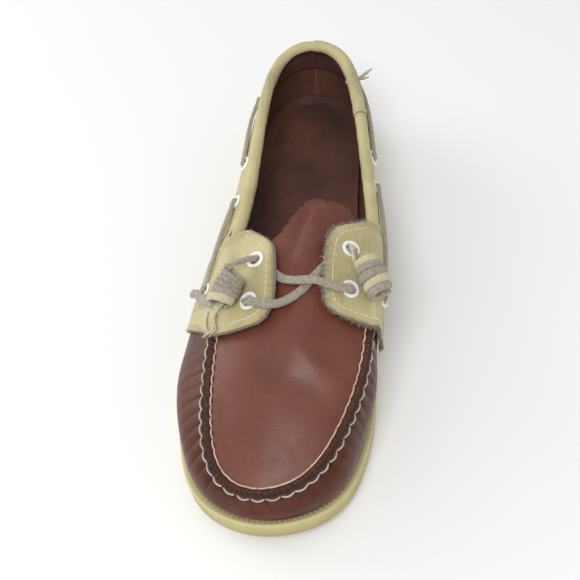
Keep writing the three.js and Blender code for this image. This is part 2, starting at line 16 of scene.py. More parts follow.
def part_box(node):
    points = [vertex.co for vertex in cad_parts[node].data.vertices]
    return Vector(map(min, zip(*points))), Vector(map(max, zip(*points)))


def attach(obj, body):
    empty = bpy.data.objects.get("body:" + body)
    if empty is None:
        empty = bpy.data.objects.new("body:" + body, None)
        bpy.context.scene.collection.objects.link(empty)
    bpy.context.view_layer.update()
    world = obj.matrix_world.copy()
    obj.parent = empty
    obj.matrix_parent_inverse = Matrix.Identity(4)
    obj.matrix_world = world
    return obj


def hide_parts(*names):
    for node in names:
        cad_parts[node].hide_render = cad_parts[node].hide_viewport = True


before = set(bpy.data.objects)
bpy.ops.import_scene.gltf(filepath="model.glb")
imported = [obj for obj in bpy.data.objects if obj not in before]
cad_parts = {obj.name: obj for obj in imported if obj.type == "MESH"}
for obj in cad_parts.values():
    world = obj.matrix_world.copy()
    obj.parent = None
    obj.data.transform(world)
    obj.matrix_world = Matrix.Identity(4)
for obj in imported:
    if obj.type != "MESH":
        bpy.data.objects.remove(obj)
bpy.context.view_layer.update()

# %% [markdown]
# ## Camera
# The camera looks down over the toe, and it is rolled a little so the shoe leans across the view. A
# longer lens from further away keeps the toe from swelling. The matrix is built from three directions, which
# is easier to read than three angles.

# %% Camera
MM = 0.001
CAMERA_PLACE = Vector((60.4, -308.7, 416.0)) * MM
CAMERA_AIM = Vector((-1.0, -13.0, 25.0)) * MM
CAMERA_ROLL = math.radians(-7.3)
forward = (CAMERA_AIM - CAMERA_PLACE).normalized()
right = forward.cross(Vector((0, 0, 1))).normalized()
upward = right.cross(forward)
right, upward = (
    right * math.cos(CAMERA_ROLL) + upward * math.sin(CAMERA_ROLL),
    upward * math.cos(CAMERA_ROLL) - right * math.sin(CAMERA_ROLL),
)
camera_data = bpy.data.cameras.new("camera")
camera_data.lens = 56.0
camera_data.clip_start = 0.01
camera = bpy.data.objects.new("camera", camera_data)
bpy.context.collection.objects.link(camera)
turn = Matrix((right, upward, -forward)).transposed().to_4x4()
camera.matrix_world = Matrix.Translation(CAMERA_PLACE) @ turn
bpy.context.scene.camera = camera
print("camera", [round(v, 3) for v in CAMERA_PLACE])

# %% [markdown]
# ## The last
# A last is the wooden foot that a shoe is pulled over, and every piece follows it. Ours has 20 pattern
# lines, from the heel along the inner side to the toe (line 10) and back. Four smooth closed curves run
# through them: the sole's rim, the feather where the upper meets the sole, the belly and the top.
# A B-spline is used because it never wiggles between its rows.

# %% The last's curves
LAST = {
    "rim": [
        (0, -2), (27, 9), (36, 42), (35, 85), (37, 125), (42, 160), (47, 195), (49, 230), (44, 264),
        (32, 289), (-2, 302), (-35, 290), (-48, 262), (-55, 226), (-54, 190), (-46, 155), (-39, 120),
        (-36, 82), (-36, 42), (-27, 9),
    ],
    "feather": [
        (0, 3), (23, 13), (31, 43), (31, 85), (33, 125), (37, 160), (42, 195), (44, 230), (39, 262),
        (28, 287), (-2, 298), (-31, 286), (-44, 260), (-51, 226), (-49, 190), (-41, 155), (-34, 120),
        (-31, 82), (-31, 43), (-23, 13),
    ],
    "belly": [
        (0, 0, 40), (24, 11, 38), (34.5, 43, 37), (39, 85, 37), (43.5, 125, 38), (48, 160, 38), (48, 195, 34),
        (49, 229, 32), (43, 262, 30), (29, 288, 29), (-2, 299, 28), (-32, 287, 28), (-46, 260, 28),
        (-53, 226, 29), (-51, 192, 30), (-45, 157, 34), (-38, 122, 37), (-35.5, 84, 38), (-34.5, 43, 38),
        (-24, 11, 38),
    ],
    "top": [
        (0, 5, 68), (19, 13, 67), (29, 42, 62), (35, 85, 58), (41, 125, 58), (44, 160, 61), (45, 195, 58),
        (44.5, 228, 51), (35, 261, 46), (20.5, 285.5, 41), (-6, 293, 39), (-25, 282, 39), (-31.5, 258, 42),
        (-33.5, 228, 46.5), (-33, 195, 53), (-28, 160, 60), (-25, 125, 59), (-26, 85, 59), (-26, 42, 63),
        (-18, 13, 67),
    ],
}
SOLE_TOP = [
    (-10, 22), (30, 22), (90, 20.5), (130, 18), (180, 15), (230, 14), (262, 15.5), (280, 18), (300, 22.5),
    (310, 25),
]
TREAD = [
    (-10, 3.5), (4, 1.2), (12, 0), (74, 0), (77, 4), (108, 3.4), (132, 0), (226, 0), (248, 1.2), (272, 4.2),
    (310, 11.5),
]
LINES = 20
TOE_LINE = 10
RIM_MIDDLE = (-3.11867, 149.75)
GAP = 0.35
WALL = 2.2
sole_low, sole_high = (np.array(corner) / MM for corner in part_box("outsole"))
FRAME_MIDDLE = (sole_low + sole_high) / 2


def unit(vectors):
    return vectors / np.maximum(np.linalg.norm(vectors, axis=-1, keepdims=True), 1e-9)


def ring(column, line):
    """One closed curve of the last, at any pattern line."""
    rows = np.array(LAST[column], float)
    line = np.asarray(line, float)
    first = np.floor(line).astype(int)
    f = (line - first)[..., None]
    weights = ((1 - f) ** 3, 3 * f**3 - 6 * f**2 + 4, -3 * f**3 + 3 * f**2 + 3 * f + 1, f**3)
    return sum(w * rows[(first + k - 1) % LINES] for k, w in enumerate(weights)) / 6


def height_at(table, s):
    """A smooth height through a table of stations and heights."""
    stations, heights = np.array(table, float).T
    slope = np.empty_like(heights)
    slope[1:-1] = (heights[2:] - heights[:-2]) / (stations[2:] - stations[:-2])
    slope[0] = (heights[1] - heights[0]) / (stations[1] - stations[0])
    slope[-1] = (heights[-1] - heights[-2]) / (stations[-1] - stations[-2])
    i = np.clip(np.searchsorted(stations, s) - 1, 0, len(stations) - 2)
    run = stations[i + 1] - stations[i]
    f = (s - stations[i]) / run
    return (
        heights[i] * (2 * f**3 - 3 * f**2 + 1) + slope[i] * run * (f**3 - 2 * f**2 + f)
        + heights[i + 1] * (3 * f**2 - 2 * f**3) + slope[i + 1] * run * (f**3 - f**2)
    )


def place(x, s, z):
    """From the last's sideways, station and height to the frame."""
    x, s, z = np.broadcast_arrays(*(np.asarray(v, float) for v in (x, s, z)))
    return np.stack([x - RIM_MIDDLE[0] + FRAME_MIDDLE[0], RIM_MIDDLE[1] - s + FRAME_MIDDLE[1], z], -1)


def smoothstep(x, low, high):
    t = np.clip((np.asarray(x, float) - low) / (high - low), 0, 1)
    return t * t * (3 - 2 * t)


def wall(line, height):
    """The upper's wall: a parabola from the feather through the belly to the top."""
    line, height = np.broadcast_arrays(np.asarray(line, float), np.asarray(height, float))
    foot = ring("feather", line)
    feather = place(foot[..., 0], foot[..., 1], height_at(SOLE_TOP, foot[..., 1]) + GAP)
    belly = place(*np.moveaxis(ring("belly", line), -1, 0))
    top = place(*np.moveaxis(ring("top", line), -1, 0))
    control = 2 * belly - (feather + top) / 2
    h = height[..., None]
    return (1 - h) ** 2 * feather + 2 * h * (1 - h) * control + h**2 * top


def normal_of(surface, a, b, step=0.01):
    a, b = np.broadcast_arrays(np.asarray(a, float), np.asarray(b, float))
    along_a = surface(a + step, b) - surface(a - step, b)
    along_b = surface(a, b + step) - surface(a, b - step)
    return unit(np.cross(along_b, along_a))


def wall_normal(line, height):
    return normal_of(wall, line, np.clip(height, 0.02, 0.98))


def instep(lines, across):
    """The crowned surface between the two seams, from the toe back. across is 0 at the lateral seam."""
    lines, across = np.broadcast_arrays(np.asarray(lines, float), np.asarray(across, float))
    medial = place(*np.moveaxis(ring("top", TOE_LINE - lines), -1, 0))
    lateral = place(*np.moveaxis(ring("top", TOE_LINE + lines), -1, 0))
    radius = 95 + (47 - 95) * smoothstep(lines, 0, 4.4)
    crown = ((medial - lateral) ** 2).sum(-1) / (8 * radius)
    point = lateral + (medial - lateral) * across[..., None]
    point[..., 2] += crown * 4 * across * (1 - across)
    return point


def instep_normal(lines, across):
    normal = normal_of(instep, np.maximum(lines, 0.12), across)
    return normal * np.where(normal[..., 2:] < 0, -1, 1)


def over_instep(lines, across, lift):
    return instep(lines, across) + instep_normal(lines, across) * np.asarray(lift, float)[..., None]


def even_lines(column, count, start=0.0, stop=20.0, closed=True):
    """Pattern lines spaced evenly along a curve of the last, and how far along it each is."""
    fine = np.linspace(start, stop, 6001)
    points = ring(column, fine)
    length = np.concatenate([[0], np.cumsum(np.linalg.norm(np.diff(points, axis=0), axis=1))])
    share = np.linspace(0, 1, count, endpoint=not closed)
    return np.interp(share * length[-1], length, fine), share * length[-1]


print("the seam ring is", round(float(even_lines("top", 10)[1][-1] / 0.9)), "mm round")

# %% [markdown]
# ## Small tools
# `loft` joins closed sections into one closed skin: the sections are the rows, and both ends are zipped
# shut. `wander` is a slow random wave made from a few sines, for skin that is never quite flat. The seed
# is fixed, so each run gives the same shoe.

# %% Mesh tools
def wander(a, b, seed, wavelength, waves=7):
    """A smooth random wave of about -1 to 1 over two coordinates in millimetres."""
    rng = np.random.default_rng(seed)
    total = 0
    for _ in range(waves):
        angle, phase = rng.uniform(0, 2 * np.pi, 2)
        k = 2 * np.pi / (wavelength * rng.uniform(0.6, 1.7))
        total = total + np.sin(k * (a * np.cos(angle) + b * np.sin(angle)) + phase)
    return total / np.sqrt(waves)


def loft(rings, wrap=False):
    """Faces over closed sections. rings is rows x points around, and the number around is even."""
    rows, around = rings.shape[:2]
    index = np.arange(rows * around).reshape(rows, around)
    following = np.roll(index, -1, 0) if wrap else index[1:]
    here = index if wrap else index[:-1]
    quads = [np.stack([here, np.roll(here, -1, 1), np.roll(following, -1, 1), following], -1).reshape(-1, 4)]
    columns = [np.tile(np.arange(around), len(here))]
    if not wrap:
        k = np.arange(around // 2 - 1)
        for row, order in ((index[0], 1), (index[-1], -1)):
            cap = np.stack([row[k], row[around - 1 - k], row[around - 2 - k], row[k + 1]], -1)
            quads.append(cap[:, ::order])
            columns.append(np.full(len(k), around - 1))
    return np.concatenate(quads), np.concatenate(columns)


def make_piece(name, points, faces, materials, face_material=None, sharp=None, **attributes):
    """A mesh object from points in millimetres. Faces are turned outwards by the sign of the volume."""
    points = np.asarray(points, float).reshape(-1, 3)
    corners = points[faces]
    one = np.einsum("ij,ij->i", corners[:, 0], np.cross(corners[:, 1], corners[:, 2]))
    two = np.einsum("ij,ij->i", corners[:, 0], np.cross(corners[:, 2], corners[:, 3]))
    if (one + two).sum() < 0:
        faces = faces[:, ::-1]
    mesh = bpy.data.meshes.new(name)
    mesh.from_pydata((points * MM).tolist(), [], faces.tolist())
    for material in materials:
        mesh.materials.append(material)
    if face_material is not None:
        mesh.polygons.foreach_set("material_index", np.asarray(face_material, np.int32))
    for label, values in attributes.items():
        values = np.asarray(values, float)
        vector = values.ndim > 1 and values.shape[-1] == 3
        layer = mesh.attributes.new(label, "FLOAT_VECTOR" if vector else "FLOAT", "POINT")
        layer.data.foreach_set("vector" if vector else "value", values.ravel())
    mesh.shade_smooth()
    if sharp:
        mesh.set_sharp_from_angle(angle=math.radians(sharp))
    mesh.update()
    piece = bpy.data.objects.new(name, mesh)
    bpy.context.collection.objects.link(piece)
    print(name, "has", len(mesh.polygons), "faces")
    return piece


def resample(points, pitch=None, count=None):
    """Points spaced evenly along a polyline."""
    length = np.concatenate([[0], np.cumsum(np.linalg.norm(np.diff(points, axis=0), axis=1))])
    if count is None:
        count = max(2, int(round(length[-1] / pitch)) + 1)
    at = np.linspace(0, length[-1], count)
    return np.stack([np.interp(at, length, points[:, k]) for k in range(points.shape[1])], 1)


def through(points, pitch=1.0):
    """A smooth curve through a few points (Catmull-Rom), resampled evenly."""
    p = np.asarray(points, float)
    p = np.concatenate([[2 * p[0] - p[1]], p, [2 * p[-1] - p[-2]]])
    t = np.linspace(0, 1, 24, endpoint=False)[:, None]
    runs = []
    for a, b, c, d in zip(p[:-3], p[1:-2], p[2:-1], p[3:]):
        runs.append(0.5 * (2 * b + (c - a) * t + (2 * a - 5 * b + 4 * c - d) * t**2
                           + (3 * b - a - 3 * c + d) * t**3))
    return resample(np.concatenate(runs + [p[-2:-1]]), pitch)


def smoothed(rows, times, axis=0):
    """Each row drawn towards its neighbours, with the ends kept."""
    rows = np.moveaxis(np.array(rows, float), axis, 0)
    for _ in range(times):
        rows[1:-1] = rows[1:-1] * 0.5 + (rows[:-2] + rows[2:]) * 0.25
    return np.moveaxis(rows, 0, axis)


# %% [markdown]
# ## Finishes
# Each finish starts from what the real one is. Colours are written as screen hex values and turned to
# linear light by one function. `add` puts one node in a tree, with its settings and its links.

# %% Node helper
def linear(hex_value):
    values = [int(hex_value[k:k + 2], 16) / 255 for k in (1, 3, 5)]
    return [v / 12.92 if v <= 0.04045 else ((v + 0.055) / 1.055) ** 2.4 for v in values] + [1.0]


def add(tree, kind, sockets=None, **settings):
    node = tree.nodes.new(kind)
    for label, value in settings.items():
        setattr(node, label, value)
    for label, value in (sockets or {}).items():
        if isinstance(value, bpy.types.NodeSocket):
            tree.links.new(value, node.inputs[label])
        else:
            node.inputs[label].default_value = value
    return node


def mixed(tree, share, one, two):
    """One colour turning to another. Either may be a hex value or the output of a node."""
    node = add(tree, "ShaderNodeMix", data_type="RGBA")
    for socket, value in ((node.inputs[0], share), (node.inputs[6], one), (node.inputs[7], two)):
        if isinstance(value, bpy.types.NodeSocket):
            tree.links.new(value, socket)
        else:
            socket.default_value = linear(value) if isinstance(value, str) else value
    return node.outputs[2]


def spread(tree, value, low, high, to_low=0.0, to_high=1.0):
    """A value stretched from one range to another, and held at its ends."""
    return add(tree, "ShaderNodeMapRange", {
        "Value": value, "From Min": low, "From Max": high, "To Min": to_low, "To Max": to_high,
    }).outputs["Result"]


def start_material(name):
    material = bpy.data.materials.new(name)
    material.use_nodes = True
    tree = material.node_tree
    tree.nodes.clear()
    return material, tree, add(tree, "ShaderNodeTexCoord").outputs["Object"]


def finish_material(tree, colour, roughness, bump=None, bump_mm=0.1, **sockets):
    shader = add(tree, "ShaderNodeBsdfPrincipled", {"Base Color": colour, "Roughness": roughness})
    for label, value in sockets.items():
        shader.inputs[label.replace("_", " ")].default_value = value
    if bump is not None:
        relief = add(tree, "ShaderNodeBump", {"Height": bump, "Strength": 1.0, "Distance": bump_mm * MM})
        tree.links.new(relief.outputs["Normal"], shader.inputs["Normal"])
    output = add(tree, "ShaderNodeOutputMaterial")
    tree.links.new(shader.outputs[0], output.inputs["Surface"])


def noise(tree, place_socket, size_mm, detail=3.0, roughness=0.55):
    """Noise whose soft lumps are about size_mm across."""
    return add(tree, "ShaderNodeTexNoise", {
        "Vector": place_socket, "Scale": 1 / (size_mm * MM), "Detail": detail, "Roughness": roughness,
    }).outputs["Fac"]


def attribute(tree, label):
    return add(tree, "ShaderNodeAttribute", attribute_name=label).outputs["Fac"]


# %% [markdown]
# Upper leather is chrome-tanned cowhide, dyed chestnut and finished with a thin pigment coat. Its grain is
# pores a third of a millimetre apart, drawn twice as coarse here so that they show. The finish gives a soft
# satin sheen, and it pales where the skin is stretched and darkens with dirt in patches. Its folds and
# creases are painted darker as painted shade.

# %% Chestnut leather
def chestnut_leather(name, light, dark, sheen_rough, gloss):
    material, tree, here = start_material(name)
    clouds = noise(tree, here, 26, 3)
    fold = attribute(tree, "fold")
    grime = attribute(tree, "grime")
    colour = mixed(tree, spread(tree, clouds, 0.32, 0.7), light, dark)
    colour = mixed(tree, spread(tree, noise(tree, here, 5, 4), 0.56, 0.8, 0, 0.28), colour, "#84584a")
    # Painted shade: the fold attribute paints folds, creases and valleys darker.
    colour = mixed(tree, spread(tree, fold, 0, 1, 0, 0.75), colour, "#321a13")
    scratch_map = add(tree, "ShaderNodeMapping", {"Vector": here, "Scale": (1.0, 0.16, 1.0)}).outputs[0]
    scratches = spread(tree, noise(tree, scratch_map, 0.9, 2), 0.735, 0.78, 0, 0.5)
    colour = mixed(tree, scratches, colour, "#9c7768")
    patches = noise(tree, here, 3.0, 4)
    dirty = add(tree, "ShaderNodeMath", {0: grime, 1: patches}, operation="MULTIPLY").outputs[0]
    colour = mixed(tree, spread(tree, dirty, 0.08, 0.5, 0, 0.85), colour, "#2b1a15")
    pores = add(tree, "ShaderNodeTexVoronoi", {"Vector": here, "Scale": 1 / (0.75 * MM)}).outputs["Distance"]
    rough = spread(tree, noise(tree, here, 7, 4), 0.3, 0.75, sheen_rough - 0.05, sheen_rough + 0.1)
    relief = add(tree, "ShaderNodeMath", {0: pores, 1: noise(tree, here, 2.6, 3)}, operation="ADD").outputs[0]
    finish_material(tree, colour, rough, relief, 0.045, IOR=1.48, Specular_IOR_Level=gloss)
    return material


VAMP_LEATHER = chestnut_leather("chestnut cowhide, vamp", "#5b2b1c", "#482015", 0.33, 0.26)
APRON_LEATHER = chestnut_leather("chestnut cowhide, apron", "#733e2d", "#673425", 0.42, 0.5)

# %% [markdown]
# The collar, band and facings are a pale olive-tan leather with a matt finish, painted darker as painted
# shade where they fold or step. Its cut edges show the bare fibres: grey, fuzzy and matt. The lining is a
# thin brown leather, worn and darkened in patches by the foot, and painted darker low inside the wall as
# painted shade.

# %% Tan leather, cut edges and lining
def tan_leather():
    material, tree, here = start_material("olive tan cowhide")
    colour = mixed(tree, spread(tree, noise(tree, here, 18, 4), 0.34, 0.7), "#c4ba8c", "#b4a97b")
    colour = mixed(tree, spread(tree, noise(tree, here, 3.5, 4), 0.55, 0.8, 0, 0.4), colour, "#c8bf98")
    # Painted shade: where the leather folds or steps, it is painted darker.
    colour = mixed(tree, spread(tree, attribute(tree, "fold"), 0, 1, 0, 0.8), colour, "#6f6547")
    dirty = add(tree, "ShaderNodeMath", {0: attribute(tree, "grime"), 1: noise(tree, here, 2.5, 5)},
                operation="MULTIPLY").outputs[0]
    colour = mixed(tree, spread(tree, dirty, 0.1, 0.55, 0, 0.8), colour, "#7a7156")
    marks = spread(tree, noise(tree, here, 1.6, 2), 0.74, 0.8, 0, 0.5)
    colour = mixed(tree, marks, colour, "#847a5e")
    pores = add(tree, "ShaderNodeTexVoronoi", {"Vector": here, "Scale": 1 / (0.8 * MM)}).outputs["Distance"]
    relief = add(tree, "ShaderNodeMath", {0: pores, 1: noise(tree, here, 2.2, 3)}, operation="ADD").outputs[0]
    rough = spread(tree, noise(tree, here, 6, 3), 0.3, 0.7, 0.5, 0.62)
    finish_material(tree, colour, rough, relief, 0.05, IOR=1.46)
    return material


def bare_fibres(name, light, dark, lump_mm=0.6, sheen=0.25):
    """Leather with its skin side cut away: short matted fibres, quite matt."""
    material, tree, here = start_material(name)
    lumps = noise(tree, here, lump_mm, 5, 0.7)
    colour = mixed(tree, spread(tree, lumps, 0.3, 0.7), dark, light)
    colour = mixed(tree, spread(tree, noise(tree, here, 6, 3), 0.4, 0.7, 0, 0.45), colour, dark)
    finish_material(tree, colour, 0.95, lumps, 0.35, Sheen_Weight=sheen, Sheen_Roughness=0.6, IOR=1.4)
    return material


def lining_leather():
    material, tree, here = start_material("brown pigskin lining")
    colour = mixed(tree, spread(tree, noise(tree, here, 22, 4), 0.35, 0.68), "#6d4136", "#54332b")
    colour = mixed(tree, spread(tree, noise(tree, here, 6, 5), 0.55, 0.75, 0, 0.5), colour, "#7a4d40")
    colour = mixed(tree, spread(tree, attribute(tree, "worn"), 0, 1, 0, 0.9), colour, "#7f5549")
    # This mark is dirt in patches, and painted shade where the lining is painted darker low inside the wall.
    colour = mixed(tree, spread(tree, attribute(tree, "grime"), 0, 1, 0, 0.8), colour, "#2c1e1b")
    specks = add(tree, "ShaderNodeTexVoronoi", {"Vector": here, "Scale": 1 / (1.1 * MM)}).outputs["Distance"]
    finish_material(tree, colour, 0.72, specks, 0.08, IOR=1.45)
    return material


TAN_LEATHER = tan_leather()
TAN_EDGE = bare_fibres("olive tan cut edge", "#b0a491", "#857a68")
DARK_EDGE = bare_fibres("soiled tan cut edge", "#978b7b", "#70665a")
SEAM_EDGE = bare_fibres("brown cut edge", "#4d3a30", "#281d18", 0.9, 0.05)
TONGUE_EDGE = bare_fibres("chestnut cut edge", "#8d6a5e", "#644238", 0.5)
LINING = lining_leather()

# %% [markdown]
# The lace is a rawhide strip: cream and smooth on its skin side, taupe and furry on its flesh side. The
# thread is waxed polyester, ivory when new and grey where it is walked on. Eyelets are steel with white
# enamel, and the sole is moulded natural rubber that has yellowed along its upper edge.

# %% Lace, thread, enamel and rubber
def rawhide():
    material, tree, here = start_material("rawhide lace")
    side = spread(tree, attribute(tree, "skin"), 0.35, 0.65)
    fur = noise(tree, here, 1.1, 5, 0.75)
    flesh = mixed(tree, spread(tree, fur, 0.34, 0.66), "#786d5e", "#bfb6a4")
    flesh = mixed(tree, spread(tree, noise(tree, here, 7, 3), 0.4, 0.7, 0, 0.4), flesh, "#938a78")
    skin = mixed(tree, spread(tree, noise(tree, here, 3, 4), 0.35, 0.7), "#cdc6a2", "#bdb48e")
    colour = mixed(tree, side, flesh, skin)
    finish_material(tree, colour, 0.9, fur, 0.55, Sheen_Weight=0.25, Sheen_Roughness=0.6, IOR=1.42)
    return material


def thread(name, colour_a, colour_b):
    material, tree, here = start_material(name)
    twist = noise(tree, here, 0.5, 3)
    colour = mixed(tree, spread(tree, noise(tree, here, 9, 3), 0.35, 0.7), colour_a, colour_b)
    colour = mixed(tree, spread(tree, twist, 0.35, 0.7, 0, 0.3), colour, "#8f7f6c")
    finish_material(tree, colour, 0.6, twist, 0.1, IOR=1.5)
    return material


def enamel():
    material, tree, here = start_material("white enamelled steel")
    colour = mixed(tree, spread(tree, noise(tree, here, 2.5, 4), 0.5, 0.8, 0, 0.5), "#f2f2f2", "#d5d4cf")
    finish_material(tree, colour, 0.3, noise(tree, here, 1.5, 2), 0.02, IOR=1.5, Coat_Weight=0.4,
                    Coat_Roughness=0.15)
    return material


def rubber():
    material, tree, here = start_material("natural crepe rubber")
    colour = mixed(tree, spread(tree, noise(tree, here, 14, 4), 0.35, 0.68), "#c8bb80", "#bbae6f")
    colour = mixed(tree, spread(tree, attribute(tree, "yellow"), 0, 1), colour, "#cabf90")
    streaks = add(tree, "ShaderNodeMapping", {"Vector": here, "Scale": (1.0, 1.0, 5.0)}).outputs[0]
    dirt = add(tree, "ShaderNodeMath", {0: attribute(tree, "grime"), 1: noise(tree, streaks, 5, 5, 0.65)},
               operation="MULTIPLY").outputs[0]
    colour = mixed(tree, spread(tree, dirt, 0.06, 0.6, 0, 0.9), colour, "#6d6142")
    fine = noise(tree, here, 0.9, 4)
    finish_material(tree, colour, 0.66, fine, 0.05, IOR=1.52)
    return material


RAWHIDE = rawhide()
IVORY_THREAD = thread("waxed ivory thread", "#d6c8b8", "#b09c8a")
YELLOW_THREAD = thread("waxed straw thread", "#ece3bd", "#d6cb9c")
ENAMEL = enamel()
RUBBER = rubber()
print("made", len(bpy.data.materials), "finishes")

# %% [markdown]
# ## Sole
# The unit sole is moulded in one piece. Its section is the same idea all the way round: a flat tread with
# fine wavy slits, a nearly upright side wall, and a flange on top that the upper sits on.
# So it is lofted from closed rings round the shoe, from the middle of the tread, over the wall, and back
# to the middle of the top.

# %% Sole
SIDE_TAPER = 0.2
RIB_PITCH = 2.8
TREAD_ROUND, FLANGE_ROUND = 1.1, 1.3
SLIT_DEPTH, SLIT_PITCH = 0.9, 6
SLIT_WAVE_HEIGHT, SLIT_WAVE_LENGTH = 1.3, 11


def outline(column, lines, inset):
    """A plan outline of the last drawn inwards, as x and station."""
    here = ring(column, lines)[..., :2]
    ahead = ring(column, lines + 0.02)[..., :2] - ring(column, lines - 0.02)[..., :2]
    inward = unit(np.stack([-ahead[..., 1], ahead[..., 0]], -1))
    return here + inward * np.asarray(inset)[..., None]


def spine(points):
    """The middle of the shoe beside each outline point, kept away from the heel and the toe."""
    s = np.clip(points[:, 1], 34, 258)
    middle_x = np.interp(s, [34, 120, 200, 258], [0, 0, -3.5, -4])
    return np.stack([middle_x, s], 1)


def make_sole():
    """Closed rings from the middle of the tread, out over the wall, to the middle of the top."""
    lines, arc = even_lines("rim", 1200)
    rim = outline("rim", lines, 0.0)
    centre = spine(rim)
    rows, yellow, grime = [], [], []

    def row(points, z, gold, dirt):
        rows.append(place(points[:, 0], points[:, 1], z))
        yellow.append(np.full(len(lines), gold))
        grime.append(np.broadcast_to(np.asarray(dirt, float), len(lines)))

    low = outline("rim", lines, SIDE_TAPER)
    tread_z = lambda points: np.interp(points[:, 1], *np.array(TREAD, float).T)
    for t in np.linspace(0.02, 1, 26):
        points = centre + (low - centre) * t
        inner_edge = smoothstep(t, 0.97, 0.9)
        wavy = points[:, 1] + SLIT_WAVE_HEIGHT * np.sin(2 * np.pi * points[:, 0] / SLIT_WAVE_LENGTH)
        slit = SLIT_DEPTH * smoothstep(np.sin(2 * np.pi * wavy / SLIT_PITCH), 0.75, 0.95) * inner_edge
        round_off = TREAD_ROUND * smoothstep(t, 0.985, 1.0)
        row(points, tread_z(points) + slit + round_off, 0.2, 0.55 + 0.3 * slit)
    top_z = height_at(SOLE_TOP, rim[:, 1])
    base_z = tread_z(low) + TREAD_ROUND
    for t in np.linspace(0.04, 1, 12):
        z = base_z + (top_z - FLANGE_ROUND - base_z) * t
        inset = SIDE_TAPER * (1 - t) + 0.12 * np.sin(np.pi * t) ** 2
        row(outline("rim", lines, inset), z, 0.15 + 0.25 * smoothstep(t, 0.6, 1), 0.45 * (1 - t) ** 2 + 0.12)
    for angle in np.radians([15, 40, 65, 90]):
        inset = FLANGE_ROUND * (1 - np.cos(angle)) * 0.9
        row(outline("rim", lines, inset), top_z - FLANGE_ROUND * (1 - np.sin(angle)), 0.75, 0.1)
    feather = outline("feather", lines, 0.0)
    edge = outline("rim", lines, 1.17)
    for t in np.linspace(0.12, 1, 10):
        points = edge + (feather - edge) * t
        notch = smoothstep(np.sin(2 * np.pi * arc / RIB_PITCH), -0.2, 0.6)
        groove = 0.3 * np.exp(-((t - 0.72) / 0.12) ** 2) + 0.3 * notch * smoothstep(t, 0.35, 0.5)
        row(points, height_at(SOLE_TOP, points[:, 1]) - groove, 0.95,
            0.12 + 0.28 * notch * smoothstep(t, 0.35, 0.5) + 0.8 * smoothstep(t, 0.62, 0.95))
    inner = outline("feather", lines, 3.0)
    for t in (0.0, 0.4, 0.8, 0.98):
        points = inner + (spine(inner) - inner) * t
        row(points, height_at(SOLE_TOP, points[:, 1]) - 0.2, 0.5, 0.3)
    faces, _ = loft(np.array(rows))
    return make_piece("sole", rows, faces, [RUBBER], sharp=50,
                      yellow=np.concatenate(yellow), grime=np.concatenate(grime))


sole = make_sole()
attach(sole, "root")
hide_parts("outsole")

# %% [markdown]
# ## Sock lining
# A thin leather insole is glued inside. It turns up slightly at its edge, where it meets the lining.

# %% Sock lining
def make_sock_lining():
    """The insole inside the shoe, as closed rings that turn up at the edge."""
    lines, _ = even_lines("feather", 360)
    rows, grime = [], []
    under = outline("feather", lines, WALL - 0.7)
    over = outline("feather", lines, WALL - 2.2)
    middle = spine(under)
    for t in np.linspace(0.03, 1, 8):
        points = middle + (under - middle) * t
        rows.append(place(points[:, 0], points[:, 1], height_at(SOLE_TOP, points[:, 1]) + 0.4))
        grime.append(np.zeros(360))
    for t in np.linspace(1, 0.03, 34):
        points = middle + (over - middle) * t
        cup = 3.6 * smoothstep(t, 0.72, 1.0) ** 2
        dent = 0.5 * wander(points[:, 0], points[:, 1], 5, 40)
        height = height_at(SOLE_TOP, points[:, 1]) + 3.2 + cup + dent * 0.4
        rows.append(place(points[:, 0], points[:, 1], height))
        grime.append(np.clip(0.35 + 0.3 * wander(points[:, 0], points[:, 1], 8, 50), 0, 1))
    faces, _ = loft(np.array(rows))
    return make_piece("sock_lining", rows, faces, [LINING], grime=np.concatenate(grime))


sock_lining = make_sock_lining()
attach(sock_lining, "root")
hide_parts("insole")

# %% [markdown]
# ## Vamp and quarters
# The leather that wraps the foot is one long wall. Round the toe its edge is longer than the apron's, so the
# hand sewer gathers it: each stitch pulls a small valley, and the leather puffs out between the stitches.
# The gathers are real relief, one for each stitch, which lean and fade down the wall, and their valleys are
# also painted darker as painted shade. The wall is a closed skin of its true thickness, open underneath and
# at the top, with a lining on its inner side.

# %% Vamp and quarters
STITCH_PITCH = 6.6
MOST_STITCHES = 140
WALL_CLIMB = 30  # millimetres from the sole up to the seam, near enough for the gathers
COLLAR_DROP = 4.2
COLLAR_FRONT = {"medial": 4.5, "lateral": 4.86}
seam_lines, seam_length = even_lines("top", 1500, 4.4, 15.6, closed=False)


def seam_count(line):
    """How many stitches along the seam a pattern line is, as a real number."""
    return np.interp(line, seam_lines, seam_length) / STITCH_PITCH


def gather_depth(line):
    """How strongly the wall is gathered: most round the toe, and gone under the facings."""
    return smoothstep(line, 5.9, 7.6) * smoothstep(line, 14.3, 13.0)


def puff(count):
    """The swell of leather between two stitches, from 0 at a stitch to 1 midway."""
    return np.abs(np.sin(np.pi * count)) ** 0.65


def wall_top(line):
    """How far up its parabola the wall goes: to the seam in front, and to just under the collar behind."""
    from_heel = np.where(line < LINES / 2, line, LINES - line)
    start = np.where(line < LINES / 2, COLLAR_FRONT["medial"], COLLAR_FRONT["lateral"])
    climb = (wall(line, 1.0) - wall(line, 0.9))[..., 2] / 0.1
    front = smoothstep(from_heel - start, 0.05, 0.5)
    return (1 - COLLAR_DROP / climb) * (1 - front) + front


